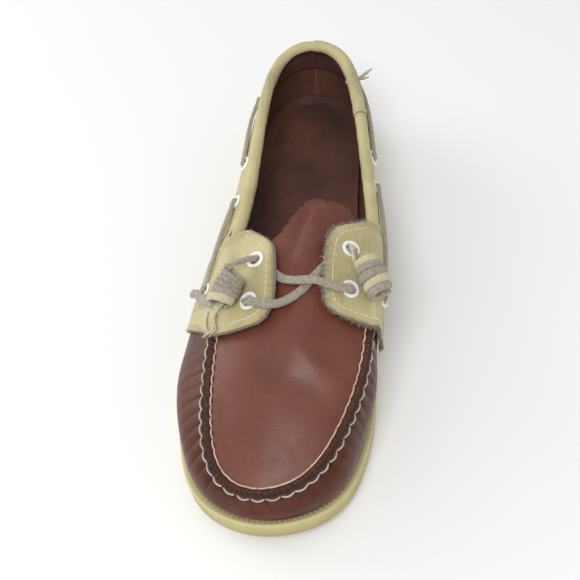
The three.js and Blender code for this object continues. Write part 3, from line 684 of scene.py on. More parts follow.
def gathers(line, height):
    """Relief of the gathered wall in millimetres, and how deep in a fold each point is, for the painted shade
    in its valleys.
    """
    down = (1 - height) * WALL_CLIMB
    rng = np.random.default_rng(21)
    stitches = np.arange(MOST_STITCHES)
    lean_of = np.interp(seam_count(line), stitches, rng.uniform(-0.35, 0.35, MOST_STITCHES))
    strength_of = np.interp(seam_count(line), stitches, rng.uniform(0.4, 1.45, MOST_STITCHES))
    lateral = smoothstep(line, 10.5, 12.0)
    count = seam_count(line) + (0.010 * lean_of + 0.012 * lateral) * down**1.35
    reach = 9 + 4 * lateral + 7 * lean_of
    fade = np.exp(-((down / reach) ** 2))
    swell = puff(count)
    fine = np.sin(2 * np.pi * (count * 2.0 + 0.3 * lean_of)) * 0.12 * lateral * smoothstep(down, 2, 8)
    pleat = (1.2 - 0.65 * lateral) * (swell - 0.6) * fade
    ripple = 0.3 * fine * np.exp(-((down / 20) ** 2))
    relief = gather_depth(line) * strength_of * (pleat + ripple)
    fold = gather_depth(line) * fade * (1 - swell) ** 1.5 * (1 - 0.5 * lateral)
    return relief, fold


def make_cradle():
    """The gathered wall: an outer face with its relief, and a lining face one thickness inside it."""
    lines, length = even_lines("top", 1000)
    share = np.concatenate([np.linspace(0, 0.55, 11), np.linspace(0.6, 1, 17)])
    line, height = np.meshgrid(lines, share, indexing="ij")
    height = height * wall_top(line)
    surface, outward = wall(line, height), wall_normal(line, height)
    relief, fold = gathers(line, height)
    arc = np.broadcast_to(length[:, None], line.shape)
    soft = 0.35 * wander(arc, height * 40, 3, 34)
    soft = soft * smoothstep(height, 0.02, 0.3) * smoothstep(height, 1.0, 0.7)
    outer = surface + outward * (relief + soft)[..., None]
    inner = surface - outward * WALL
    inner[:, 0, 2] = surface[:, 0, 2]
    outer[:, 0, 2] = surface[:, 0, 2]
    rings = np.concatenate([outer, inner[:, ::-1]], 1)
    faces, column = loft(rings, wrap=True)
    side = (column >= len(share)).astype(int)
    welt_dirt = np.clip(0.9 * smoothstep(height, 0.14, 0.0) + 0.15, 0, 1)
    heel_seam = 0.9 * np.exp(-((np.minimum(line, LINES - line) / 0.035) ** 2))
    # Painted shade: the lining is painted darker towards the bottom of the wall, deep inside the shoe.
    dark = 0.35 * smoothstep(height, 0.4, 0.1)
    worn = 0.28 * smoothstep(np.minimum(line, LINES - line), 3.4, 1.6) + heel_seam
    return make_piece("cradle", rings, faces, [VAMP_LEATHER, LINING], side, sharp=60,
                      fold=np.concatenate([fold, fold[:, ::-1] * 0], 1).ravel(),
                      grime=np.concatenate([welt_dirt, dark[:, ::-1]], 1).ravel(),
                      worn=np.concatenate([worn, worn[:, ::-1]], 1).ravel())


cradle = make_cradle()
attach(cradle, "root")
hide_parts("upper")

# %% [markdown]
# ## Apron and tongue
# The apron and the tongue are one sheet, cut with a raw edge at the tongue's end. Worn leather keeps soft
# ridges and troughs where the foot bends. Each is given as a short line with a width and a depth.

# %% Apron and tongue
TONGUE = [
    (4.17, 0.16, 0.88), (4.5, 0.2, 0.88), (4.75, 0.26, 0.88), (4.93, 0.35, 0.88), (5.09, 0.4, 0.875),
    (5.27, 0.447, 0.865), (5.4, 0.485, 0.845), (5.5, 0.515, 0.815), (5.57, 0.56, 0.76),
]
# lines and across of both ends, half width in mm, and height: a ridge is positive and a trough negative.
CREASES = [
    ((4.3, 0.50), (3.0, 0.60), 9.0, 0.9),
    ((3.05, 0.58), (2.7, 0.86), 7.0, 0.7),
    ((2.85, 0.40), (2.55, 0.72), 8.0, -0.6),
    ((3.6, 0.30), (2.9, 0.42), 9.0, -0.6),
    ((5.35, 0.60), (4.5, 0.56), 5.0, 1.3),
    ((5.3, 0.51), (4.45, 0.45), 4.0, -1.1),
    ((5.35, 0.74), (4.6, 0.70), 5.0, -0.9),
    ((2.2, 0.15), (1.3, 0.25), 10.0, -0.35),
    ((1.9, 0.55), (0.9, 0.60), 14.0, 0.5),
]


def creased(points, creases=CREASES):
    """Height to add at each point: soft ridges and troughs round short lines over the instep."""
    total = np.zeros(points.shape[:-1])
    for start, end, width, rise in creases:
        a, b = instep(*start)[:2], instep(*end)[:2]
        along = np.clip(((points[..., :2] - a) @ (b - a)) / ((b - a) @ (b - a)), 0, 1)
        away = np.linalg.norm(points[..., :2] - a - along[..., None] * (b - a), axis=-1)
        total += rise * np.exp(-((away / width) ** 2))
    return total


def make_apron_and_tongue():
    """The sheet over the foot, seam to seam in front and narrowing to the raw end of the tongue."""
    lines = np.concatenate([
        np.linspace(0.06, 0.8, 22), np.linspace(0.83, 4.1, 96), np.linspace(4.13, 5.57, 60)])
    table = np.array(TONGUE)
    lateral = np.where(lines < 4.1, 0.0, np.interp(lines, table[:, 0], table[:, 1]))
    medial = np.where(lines < 4.1, 1.0, np.interp(lines, table[:, 0], table[:, 2]))
    hidden = smoothstep(lines, 4.02, 4.3)[:, None]
    columns = 72
    share = np.linspace(0, 1, columns)
    across = lateral[:, None] + (medial - lateral)[:, None] * share
    line = np.broadcast_to(lines[:, None], across.shape)
    normal = instep_normal(line, across)
    base = instep(line, across)
    edge = np.minimum(share, 1 - share) * np.linalg.norm(base[:, -1] - base[:, 0], axis=1)[:, None]
    lift = creased(base) * smoothstep(edge, 2, 9)
    lift += 0.22 * wander(base[..., 0], base[..., 1], 11, 38) * smoothstep(edge, 2, 9)
    lift += smoothstep(line, 4.9, 5.57) * 1.2
    ragged = 0.5 * wander(base[..., 0] * 3, base[..., 1], 14, 6)
    end = smoothstep(line, 5.5, 5.57)
    upper = base + normal * (lift - 0.15)[..., None]
    upper[..., 1] += ragged * end
    lower = upper - normal * (1.3 + 0.5 * hidden)[..., None]
    rings = np.concatenate([upper, lower[:, ::-1]], 1)
    faces, column = loft(rings)
    kind = np.where(column < columns - 1, 0, 1)
    kind[(column >= 2 * columns - 1) | (column == columns - 1)] = 2
    kind[-(columns - 1):] = 2
    # Painted shade: troughs, and a strip 6 mm wide along each side edge where the facings and seam ridge
    # stand over the sheet, are painted darker.
    fold = np.clip(-creased(base) * 0.25, 0, 0.5)
    grime = np.clip(0.75 * smoothstep(edge, 3.0, 0.5) * (line < 4.1), 0, 1)
    shade = np.clip(fold + 0.25 * smoothstep(edge, 6, 0), 0, 1)
    return make_piece("apron_and_tongue", rings, faces, [APRON_LEATHER, LINING, TONGUE_EDGE], kind, sharp=55,
                      fold=np.concatenate([shade, shade[:, ::-1]], 1).ravel(),
                      grime=np.concatenate([grime, grime[:, ::-1]], 1).ravel())


apron_and_tongue = make_apron_and_tongue()
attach(apron_and_tongue, "root")
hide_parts("tongue")

# %% [markdown]
# ## Raised seam
# The wall's edge is turned up and sewn to the apron through its thickness, so between the two rows of
# stitches stands a ridge: a smooth rise on the apron's side, the bare cut edge of the leather on top, and
# the scalloped gathers on the outside. Its section is a few points swept along the seam ring.

# %% Raised seam
def seam_frame(line):
    """The seam's middle, the ways to its inner and outer row of stitches, and up."""
    middle = wall(line, 1.0)
    lines_back = np.abs(line - TOE_LINE)
    medial_side = line < TOE_LINE
    step_in = np.where(medial_side, 0.97, 0.03)
    deep = instep(np.maximum(lines_back, 0.45), step_in)
    tangent = unit(place(*np.moveaxis(ring("top", line + 0.02), -1, 0))
                   - place(*np.moveaxis(ring("top", line - 0.02), -1, 0)))
    inward = np.cross(tangent, np.array([0, 0, -1.0]))
    inward = unit(inward * np.sign((inward * (deep - middle)).sum(-1))[..., None])
    slope = (instep(np.maximum(lines_back, 0.3), np.where(medial_side, 0.93, 0.07))
             - instep(np.maximum(lines_back, 0.3), np.where(medial_side, 0.999, 0.001)))
    rise = slope[..., 2] / np.maximum(np.linalg.norm(slope[..., :2], axis=-1), 1e-6)
    tip_climb = instep(0.5, 0.5) - instep(0.02, 0.5)
    tip_rise = float(tip_climb[..., 2] / np.linalg.norm(tip_climb[..., :2]))
    rise = tip_rise + (rise - tip_rise) * smoothstep(lines_back, 0.3, 1.1)
    inner_way = unit(inward + np.array([0, 0, 1.0]) * np.clip(rise, 0, 0.6)[..., None])
    outer_way = unit(wall(line, 0.9) - middle)
    up = unit(np.cross(tangent, unit(inner_way - outer_way)))
    up = up * np.sign(up[..., 2:] + 1e-9)
    return middle, inner_way, outer_way, up, tangent


def make_seam_ridge():
    """One section swept along the seam, scalloped outside and rough on the cut edge."""
    lines, length = even_lines("top", 1500, 4.75, 15.3, closed=False)
    middle, inner_way, outer_way, up, _ = seam_frame(lines)
    swell = puff(seam_count(lines)) * gather_depth(lines)
    rough = wander(length * 4, length * 0, 31, 7)
    # Each point's reach along the inner (-) or outer (+) way, and its height. The scalloped points are on the
    # outside, and the rough ones are round the cut edge on top.
    section = [
        (-3.6, -0.7), (-2.8, 0.02), (-2.45, 0.35), (-2.0, 0.85), (-1.5, 1.3), (-1.0, 1.6), (-0.55, 1.7),
        (-0.15, 1.45), (0.3, 1.35), (0.75, 1.4), (1.15, 1.6), (1.6, 1.5), (2.1, 1.05), (2.6, 0.5),
        (3.2, -0.05), (3.6, -0.9), (1.5, -1.4), (-1.5, -1.4),
    ]
    scalloped, rough_points = range(10, 15), range(4, 12)
    rows = []
    for k, (reach, height) in enumerate(section):
        way = inner_way if reach < 0 else outer_way
        offset = abs(reach)
        lift = np.full(len(lines), height)
        if k in scalloped:
            lift = lift - 0.8 * (1 - swell) * gather_depth(lines) + 0.25 * swell
            offset = offset + 0.6 * (swell - 0.5) * gather_depth(lines)
        if k in rough_points:
            lift = lift + 0.22 * rough + 0.18 * wander(length * 3, np.full(len(lines), k * 9.0), 40 + k, 5)
        rows.append(middle + way * np.broadcast_to(offset, len(lines))[:, None] + up * lift[:, None])
    rings = np.stack(rows, 1)
    faces, column = loft(rings)
    kind = np.where((column >= 5) & (column <= 9), 1, 0)
    # Painted shade: the valleys between the scallops and the foot of the ridge on the apron's side are
    # painted darker.
    fold = np.zeros(rings.shape[:2])
    valley = ((1 - swell) * gather_depth(lines))[:, None]
    fold[:, scalloped.start + 1:scalloped.stop] = valley * np.array([0.8, 1.0, 1.0, 0.8])
    fold[:, 1:4] = np.array([0.6, 0.35, 0.1])
    return make_piece("seam_ridge", rings, faces, [VAMP_LEATHER, SEAM_EDGE], kind, sharp=75,
                      fold=fold.ravel(), grime=np.full(fold.size, 0.1))


seam_ridge = make_seam_ridge()
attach(seam_ridge, "root")

# %% [markdown]
# ## Collar
# The padded collar and the band under it are one strip of tan leather, folded over the wall's top edge and
# turned in. Its section is an upside-down U: up the outside of the wall, round a soft roll, and a little
# way down the inside. A joint on the inner side shows as a step, where the heel's piece lies over the other.

# %% Collar and band
COLLAR_RADIUS = 3.5
JOINT_LINE = 2.45
BAND_PROUD = 1.4
OUTSIDE_ROWS, ROLL_ROWS, INSIDE_ROWS = 16, 30, 10
ON_LEATHER, ON_LINING = 0.1, -2.28  # offsets from the wall's outer face


def band_low(line):
    """How far up the wall the band's lower edge is: higher at the heel than beside the facings."""
    from_heel = np.where(line < LINES / 2, line, LINES - line)
    return 0.6 - 0.13 * smoothstep(from_heel, 1.5, 5.0)


def make_collar_band():
    """The band and its padded roll: one section swept round the opening from facing to facing."""
    start, stop = LINES - COLLAR_FRONT["lateral"] - 0.2, LINES + COLLAR_FRONT["medial"] + 0.1
    lines, length = even_lines("top", 640, start, stop, closed=False)
    line = np.where(lines >= LINES, lines - LINES, lines)
    joint = smoothstep(line, JOINT_LINE + 0.012, JOINT_LINE - 0.012) * (line < LINES / 2)
    at_joint = np.exp(-(((line - JOINT_LINE) / 0.02) ** 2)) * (line < LINES / 2)
    near_joint = np.exp(-(((line - JOINT_LINE) / 0.16) ** 2))
    top = wall(line, 1.0)
    up, outward = unit(top - wall(line, 0.95)), wall_normal(line, 0.98)
    ends = smoothstep(length, 0, 5) * smoothstep(length, length[-1], length[-1] - 5)
    rows, fold = [], []

    def row(points, shade_share=0.0):
        rows.append(points)
        fold.append(np.broadcast_to(np.asarray(shade_share, float), len(line)))

    # Painted shade on the band: darker at the joint's step and along its lower edge, which stands proud of
    # the wall.
    for t in np.linspace(0, 1, OUTSIDE_ROWS):
        height = band_low(line) + (0.92 - band_low(line)) * t
        bulge = 0.12 * wander(length, np.full(len(line), height.mean() * 40), 61, 26)
        proud = BAND_PROUD * smoothstep(t, -0.06, 0.06) + 0.5 * joint + bulge * np.sin(np.pi * t)
        row(wall(line, height) + wall_normal(line, height) * proud[:, None], 0.9 * at_joint + 0.5 * (t == 0))
    for angle in np.radians(np.linspace(-52, 232, ROLL_ROWS)):
        crinkle = 0.10 * wander(length, np.full(len(line), angle * 6), 62, 9)
        crinkle += 0.22 * near_joint * np.sin(length * 2.1 + 2 * np.sin(angle))
        crinkle -= 0.16 * np.exp(-((wander(length, length * 0, 63, 24) - 1.1) / 0.16) ** 2)
        radius = (COLLAR_RADIUS - 0.15 + 0.45 * joint + crinkle) * (0.72 + 0.28 * ends) - 0.3 * at_joint
        way = outward * np.cos(angle) + up * np.sin(angle)
        # Painted shade on the roll: darker at the joint, and in the crinkles' troughs near it.
        dark = 0.9 * at_joint + 0.3 * near_joint * (np.sin(length * 2.1) < -0.5)
        row(top + way * radius[:, None], np.clip(dark, 0, 1))
    # Painted shade inside the collar: its inside rows are painted darker, the lowest most.
    for t in np.linspace(0, 1, INSIDE_ROWS):
        height = 0.9 - 0.16 * t
        deep = WALL + 1.0 - 0.6 * smoothstep(t, 0.85, 1.0)
        row(wall(line, height) - wall_normal(line, height) * deep, 0.6 + 0.3 * (t == 1))
    back_over_wall = [(height, ON_LINING) for height in (0.76, 0.86, 0.93)]
    back_over_wall += [(height, ON_LEATHER) for height in (0.93, 0.86, 0.72)]
    for height, offset in back_over_wall:
        at = np.full(len(line), height)
        row(wall(line, at) + wall_normal(line, at) * offset)
    for t in (0.7, 0.3):
        height = band_low(line) + (0.86 - band_low(line)) * t
        row(wall(line, height) + wall_normal(line, height) * ON_LEATHER)
    rings = np.stack(rows, 1)
    faces, column = loft(rings)
    along_band = np.repeat(length, 64).reshape(-1, 64)
    grime = np.clip(0.18 + 0.22 * wander(along_band, np.arange(64) * 1.0, 64, 60), 0, 0.8)
    worn = 0.2 * smoothstep(np.minimum(line, LINES - line), 3.4, 1.6)
    roll_end = OUTSIDE_ROWS + ROLL_ROWS
    kind = np.where((column >= roll_end - 7) & (column < roll_end + INSIDE_ROWS + 1), 1, 0)
    return make_piece("collar_band", rings, faces, [TAN_LEATHER, LINING], kind, sharp=70,
                      fold=np.stack(fold, 1).ravel(), grime=grime[:, :rings.shape[1]].ravel(),
                      worn=np.repeat(worn, rings.shape[1]))


collar_band = make_collar_band()

# %% [markdown]
# ## Facings
# Each facing is a flap of the same tan leather that carries two eyelets. It lies over the raised seam, bends
# down the wall and runs back under the collar. Leather bends in soft curves, so each row of points is drawn
# over the last first and then smoothed, which rounds the corner at the seam by itself.

# %% Facings
FACING_THICKNESS = 2.0
FACING_EDGE = {
    "lateral": [(3.35, 0.217), (3.4, 0.327), (3.52, 0.384), (3.75, 0.411), (4.12, 0.399), (4.5, 0.368),
                (4.66, 0.335), (4.78, 0.284), (4.93, 0.204), (5.04, 0.14)],
    "medial": [(3.575, 0.855), (3.62, 0.772), (3.69, 0.729), (3.79, 0.707), (4.0, 0.69), (4.41, 0.68),
               (4.75, 0.687), (4.93, 0.713), (5.1, 0.799), (5.25, 0.874), (5.4, 0.935)],
}
# The front edge slants back as it goes down the wall: height on the wall, and pattern lines further back.
FACING_SLANT = {
    "lateral": [(0.4, 0.55), (0.69, 0.4), (0.8, 0.31), (0.93, 0.2), (1.0, 0.1)],
    "medial": [(0.4, 0.15), (0.75, 0.11), (0.83, 0.1), (0.95, 0.07), (1.0, 0.04)],
}
FACING_REAR = {"lateral": 5.62, "medial": 5.85}


def facing_lift(across, side):
    """How far the facing's under face stands over the instep, clear of the seam and of the lace."""
    from_seam = across if side == "lateral" else 1 - across
    return 2.6 + 1.8 * np.clip(from_seam / 0.35, 0, 1)


def facing_grid(side):
    """The under face as a grid of rows from front to rear, and the number of rows with a free inner edge."""
    edge = through(np.array([(lines, inner, 0) for lines, inner in FACING_EDGE[side]]), 0.01)
    spaced = resample(np.concatenate([instep(edge[:, 0], edge[:, 1]), edge[:, :2]], 1), 0.01)
    walk = np.concatenate([[0], np.cumsum(np.linalg.norm(np.diff(spaced[:, :3], axis=0), axis=1))])
    at = np.linspace(0, walk[-1], 64)
    free = np.stack([np.interp(at, walk, spaced[:, 3]), np.interp(at, walk, spaced[:, 4])], 1)
    seam = 0.0 if side == "lateral" else 1.0
    behind = np.linspace(free[-1, 0], FACING_REAR[side], 22)[1:]
    rows = np.concatenate([free, np.stack([behind, np.full(len(behind), seam)], 1)])
    sign = 1 if side == "lateral" else -1
    slant = np.array(FACING_SLANT[side]).T
    grid = []
    for lines, inner in rows:
        front = smoothstep(lines, 4.4, rows[0, 0])
        across = np.linspace(inner, seam, 50)
        near_seam = 1 - np.abs(across - seam) / max(abs(inner - seam), 1e-6)
        u = lines + slant[1, -1] * front * near_seam**2
        height = np.linspace(1.0, 0.45, 60)[1:]
        line = TOE_LINE + sign * (lines + np.interp(height, *slant) * front)
        base = np.concatenate([instep(u, across), wall(line, height)])
        normal = np.concatenate([instep_normal(u, across), wall_normal(line, height)])
        over_seam = 0.7 + 1.9 * smoothstep(lines, 5.35, 4.95)
        lift_in = facing_lift(across, side) - 2.6 + over_seam
        lift_out = 0.35 + (over_seam - 0.35) * smoothstep(height, 0.8, 1.0)
        lift = np.concatenate([lift_in, lift_out])
        normal = unit(smoothed(normal, 60))
        points = base + normal * lift[:, None]
        keep = 0 if lines <= free[-1, 0] else int(50 + 6 * smoothstep(lines, free[-1, 0], free[-1, 0] + 0.15))
        grid.append(resample(points[keep:], count=84))
    grid = smoothed(smoothed(np.array(grid), 10, axis=1), 4, axis=0)
    return grid, len(free)


def grid_normals(grid, guide):
    """The ways out of a grid of points, on the side that a guide points to."""
    normal = unit(np.cross(np.gradient(grid, axis=0), np.gradient(grid, axis=1)))
    return normal * np.sign((normal * guide).sum(-1).mean() + 1e-9)


def make_facing(side):
    """A flap as thick as its leather, with its free edge and the edge under it, for the fibres."""
    grid, free_rows = facing_grid(side)
    guide = grid - grid.mean((0, 1)) + np.array([0, 0, 30.0])
    normal = smoothed(smoothed(grid_normals(grid, guide), 3, 0), 3, 1)
    rows, columns = grid.shape[:2]
    i, j = np.meshgrid(np.arange(rows), np.arange(columns), indexing="ij")
    row_step = np.linalg.norm(np.diff(grid, axis=0), axis=-1).mean()
    column_step = np.linalg.norm(np.diff(grid, axis=1), axis=-1).mean(1)[:, None]
    from_inner = np.where(i < free_rows, j * column_step, 99)
    from_front = i * row_step
    from_edge = np.minimum(from_inner, from_front)
    fray = 0.35 if side == "medial" else 0.12
    ragged = fray * wander(grid[..., 0] * 2 + grid[..., 2], grid[..., 1] * 2, 71, 5)
    sink = smoothstep(i, rows - 20, rows - 1)
    thick = FACING_THICKNESS * (1 - 0.2 * np.exp(-((from_edge / 0.7) ** 2))) * (1 - 0.75 * sink)
    low_edge = smoothstep(j, columns - 5, columns - 1)
    thick = thick * (1 - 0.25 * low_edge)
    soft = 0.25 * wander(grid[..., 0], grid[..., 1], 72, 24)
    curl = (0.6 if side == "medial" else 0.35) * np.exp(-((from_edge / 5) ** 2))
    inward_row = unit(grid[:, 1:2] - grid[:, :1])
    inward_front = unit(grid[1:2] - grid[:1])
    shift = inward_row * (ragged * np.exp(-((from_inner / 0.8) ** 2)))[..., None]
    shift = shift + inward_front * (ragged * np.exp(-((from_front / 0.8) ** 2)))[..., None]
    bevel = 1.0 if side == "medial" else 0.85
    flare = inward_row * (bevel * np.exp(-((from_inner / 1.3) ** 2)))[..., None]
    flare = flare + inward_front * (bevel * np.exp(-((from_front / 1.3) ** 2)))[..., None]
    under = grid + shift + normal * (soft + curl * (from_edge < 90))[..., None]
    over = under + normal * thick[..., None]
    under = under - flare
    rings = np.concatenate([over, under[:, ::-1]], 1)
    faces, column = loft(rings)
    kind = np.where(column < columns - 1, 0, 1)
    kind[-2 * (columns - 1):] = 1
    handled = 0.5 * np.exp(-((from_edge / 2.0) ** 2))
    grime = np.clip(0.25 + handled + 0.25 * wander(i * 1.0, j * 1.0, 73, 30), 0, 1)
    # Painted shade: the top face is painted darker within a millimetre of its cut edges, where it turns down.
    fold = 0.35 * np.exp(-((from_edge / 0.6) ** 2))
    cut_edge = TAN_EDGE if side == "medial" else DARK_EDGE
    piece = make_piece(f"facing_{side}_leather", rings, faces, [TAN_LEATHER, cut_edge], kind, sharp=55,
                       fold=np.concatenate([fold, fold[:, ::-1]], 1).ravel(),
                       grime=np.concatenate([grime, grime[:, ::-1]], 1).ravel())
    free_edge = np.concatenate([over[free_rows - 1::-1, 0], over[0, 1:]])
    low_edge = np.concatenate([under[free_rows - 1::-1, 0], under[0, 1:]])
    return piece, free_edge, over, low_edge


facings = {side: make_facing(side) for side in ("lateral", "medial")}

# %% [markdown]
# ## Eyelets
# A shoe eyelet is one small steel tube, rolled over at the top. Its hole is first punched through the
# leather by a Boolean modifier, and the result is kept as a plain mesh. The collar band lies folded on
# itself, so its Boolean has "Self Intersection" on, which keeps the mesh closed.

# %% Where the eyelets sit
EYELET_RADIUS = 3.8
FACING_EYELETS = {
    "eyelet_facing_lateral_front": ("lateral", 3.753, 0.269),
    "eyelet_facing_lateral_rear": ("lateral", 4.391, 0.265),
    "eyelet_facing_medial_front": ("medial", 4.017, 0.836),
    "eyelet_facing_medial_rear": ("medial", 4.66, 0.822),
}
SIDE_EYELET_HEIGHT = 0.78
SIDE_EYELETS = {"heel": (1.3, 1.87), "ankle": (3.0, 3.2), "waist": (3.58, 3.97), "instep": (5.7, 5.65)}


def surface_of(piece):
    """A quick finder of the nearest place on a piece."""
    return BVHTree.FromObject(piece, bpy.context.evaluated_depsgraph_get())


def laid(points, tree):
    """The nearest places on a surface, and the ways out of it there, in millimetres."""
    found = [tree.find_nearest(Vector(p) * MM)[:2] for p in points]
    return np.array([list(f[0]) for f in found]) / MM, np.array([list(f[1]) for f in found])


eyelet_at = {}
for name, (side, lines, across) in FACING_EYELETS.items():
    over = over_instep(lines, across, facing_lift(np.array(across), side) + FACING_THICKNESS)
    spot, _ = laid([over], surface_of(facings[side][0]))
    eyelet_at[name] = (spot[0], instep_normal(lines, across))
for spot_name, (medial, lateral) in SIDE_EYELETS.items():
    for side, line in (("medial", medial), ("lateral", LINES - lateral)):
        outward = unit(wall_normal(line, SIDE_EYELET_HEIGHT) + np.array([0, 0, 0.22]))
        cover = facings[side][0] if spot_name == "instep" else collar_band
        seat, _ = laid([wall(line, SIDE_EYELET_HEIGHT) + outward * 2], surface_of(cover))
        eyelet_at[f"eyelet_side_{side}_{spot_name}"] = (seat[0], outward)
print("placed", len(eyelet_at), "eyelets")


# %% Punch the holes
def prism(place_mm, axis, radius, depth, sides=20):
    """A round punch as points and faces, centred on a place."""
    side = unit(np.cross(axis, [0.3, 0.5, 0.81]))
    other = np.cross(axis, side)
    angle = np.linspace(0, 2 * np.pi, sides, endpoint=False)[:, None]
    rim = radius * (np.cos(angle) * side + np.sin(angle) * other)
    return np.stack([place_mm + rim - axis * depth, place_mm + rim + axis * depth])


def punch(piece, spots, radius, depth, folded=False):
    """Round holes through a piece at the named eyelets."""
    rings = [prism(*eyelet_at[name], radius, depth) for name in spots]
    faces = [loft(r)[0] + 40 * k for k, r in enumerate(rings)]
    cutter = make_piece(piece.name + "_punch", np.array(rings), np.concatenate(faces), [])
    for polygon in cutter.data.polygons:
        polygon.use_smooth = False
    cut = piece.modifiers.new("punch", "BOOLEAN")
    cut.operation, cut.solver, cut.object = "DIFFERENCE", "EXACT", cutter
    cut.use_self = folded
    bpy.context.view_layer.update()
    graph = bpy.context.evaluated_depsgraph_get()
    mesh = bpy.data.meshes.new_from_object(piece.evaluated_get(graph), preserve_all_data_layers=True,
                                           depsgraph=graph)
    piece.modifiers.clear()
    piece.data = mesh
    bpy.data.objects.remove(cutter)
    print(piece.name, "punched, now", len(mesh.polygons), "faces")


for side in ("lateral", "medial"):
    instep_spot = f"eyelet_side_{side}_instep"
    punch(facings[side][0], [n for n in FACING_EYELETS if side in n] + [instep_spot], 3.1, 4.0)
rear_spots = [n for n in eyelet_at if "side" in n and "instep" not in n]
punch(collar_band, rear_spots, 3.1, 3.2, folded=True)
punch(cradle, [n for n in eyelet_at if "side" in n], 3.1, 6.0)

for piece, node, slot in ((collar_band, "collar", "tan_leather"),
                          (facings["lateral"][0], "facing_lateral", "tan_leather"),
                          (facings["medial"][0], "facing_medial", "tan_leather")):
    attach(piece, "root")
    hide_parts(node)


# %% [markdown]
# All twelve eyelets are one shape, so Geometry Nodes make it once and set it on twelve points. Each point
# carries the way its eyelet faces. The same small runner grows stitches and fibres later.

# %% Geometry Nodes tools
def new_tree(name, **inputs):
    """An empty node tree with named sizes, and its input and output nodes."""
    tree = bpy.data.node_groups.new(name, "GeometryNodeTree")
    tree.interface.new_socket("Geometry", in_out="INPUT", socket_type="NodeSocketGeometry")
    tree.interface.new_socket("Geometry", in_out="OUTPUT", socket_type="NodeSocketGeometry")
    for label, value in inputs.items():
        kind = "NodeSocketInt" if isinstance(value, int) else "NodeSocketFloat"
        socket = tree.interface.new_socket(label.replace("_", " "), in_out="INPUT", socket_type=kind)
        socket.default_value = value
    return tree, add(tree, "NodeGroupInput").outputs


def end_tree(tree, geometry, material):
    """Every tree ends alike: real geometry, smooth, with its finish."""
    real = add(tree, "GeometryNodeRealizeInstances", {"Geometry": geometry}).outputs[0]
    smooth = add(tree, "GeometryNodeSetShadeSmooth", {"Geometry": real}).outputs[0]
    dressed = add(tree, "GeometryNodeSetMaterial", {"Geometry": smooth, "Material": material}).outputs[0]
    add(tree, "NodeGroupOutput", {"Geometry": dressed})


def carried(tree, label):
    """A vector that each point carries under a name."""
    return add(tree, "GeometryNodeInputNamedAttribute", {"Name": label}, data_type="FLOAT_VECTOR").outputs[0]


def ring_curve(tree, corners, radius):
    """A closed round curve."""
    return add(tree, "GeometryNodeCurvePrimitiveCircle", {"Resolution": corners, "Radius": radius}).outputs[0]


def turned_to(tree, primary, secondary):
    """The turn that puts one axis along the attribute "along" and another along "out"."""
    vectors = [carried(tree, label) for label in ("along", "out")]
    return add(tree, "FunctionNodeAxesToRotation", {"Primary Axis": vectors[0], "Secondary Axis": vectors[1]},
               primary_axis=primary, secondary_axis=secondary).outputs[0]


def grow(name, points, tree, sizes, **attributes):
    """Points with attributes, turned into a plain mesh by a tree of Geometry Nodes."""
    mesh = bpy.data.meshes.new(name)
    mesh.from_pydata((np.asarray(points) * MM).tolist(), [], [])
    for label, values in attributes.items():
        values = np.asarray(values, float)
        vector = values.ndim > 1
        layer = mesh.attributes.new(label, "FLOAT_VECTOR" if vector else "FLOAT", "POINT")
        layer.data.foreach_set("vector" if vector else "value", values.ravel())
    piece = bpy.data.objects.new(name, mesh)
    bpy.context.collection.objects.link(piece)
    maker = piece.modifiers.new("grow", "NODES")
    maker.node_group = tree
    for item in tree.interface.items_tree:
        if item.in_out == "INPUT" and item.name in sizes:
            maker[item.identifier] = sizes[item.name]
    graph = bpy.context.evaluated_depsgraph_get()
    grown = bpy.data.meshes.new_from_object(piece.evaluated_get(graph), preserve_all_data_layers=True,
                                            depsgraph=graph)
    piece.modifiers.clear()
    piece.data = grown
    print(name, "grew", len(grown.polygons), "faces on", len(points), "points")
    return piece


# %% Eyelet rings
def eyelet_tree():
    """A rolled ring with its short barrel, set on every point."""
    tree, sizes = new_tree("enamelled eyelet", Radius=0.0038, Roll=0.00095, Flatness=0.78, Barrel=3.4)
    circle = ring_curve(tree, 36, sizes["Radius"])
    roll = ring_curve(tree, 12, sizes["Roll"])
    ring_mesh = add(tree, "GeometryNodeCurveToMesh", {"Curve": circle, "Profile Curve": roll}).outputs[0]
    flat = add(tree, "ShaderNodeCombineXYZ", {0: 1.0, 1: 1.0, 2: sizes["Flatness"]}).outputs[0]
    flange = add(tree, "GeometryNodeTransform", {"Geometry": ring_mesh, "Scale": flat}).outputs[0]
    slim = add(tree, "ShaderNodeCombineXYZ", {0: 0.86, 1: 0.86, 2: sizes["Barrel"]}).outputs[0]
    barrel = add(tree, "GeometryNodeTransform", {
        "Geometry": ring_mesh, "Scale": slim, "Translation": (0, 0, -0.0024)}).outputs[0]
    join = add(tree, "GeometryNodeJoinGeometry")
    tree.links.new(flange, join.inputs[0])
    tree.links.new(barrel, join.inputs[0])
    on_points = add(tree, "GeometryNodeInstanceOnPoints", {
        "Points": sizes["Geometry"], "Instance": join.outputs[0], "Rotation": turned_to(tree, "Z", "X")})
    end_tree(tree, on_points.outputs[0], ENAMEL)
    return tree


spots = np.array([place_mm for place_mm, _ in eyelet_at.values()])
axes = np.array([axis for _, axis in eyelet_at.values()])
eyelet_rings = grow("eyelet_rings", spots + axes * 0.35, eyelet_tree(), {"Radius": EYELET_RADIUS * MM},
                    along=axes, out=np.tile([0.0, 1.0, 0.3], (len(axes), 1)))
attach(eyelet_rings, "root")
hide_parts(*eyelet_at)

# %% [markdown]
# ## Stitches
# A stitch is a short piece of thread that comes up through one hole, bows over the leather and goes down the
# next. The tree makes one bent thread and sets it on each point. Where leather is gathered, the thread bows
# outwards between its holes, so "out" carries both the way off the leather and the way out of the seam.

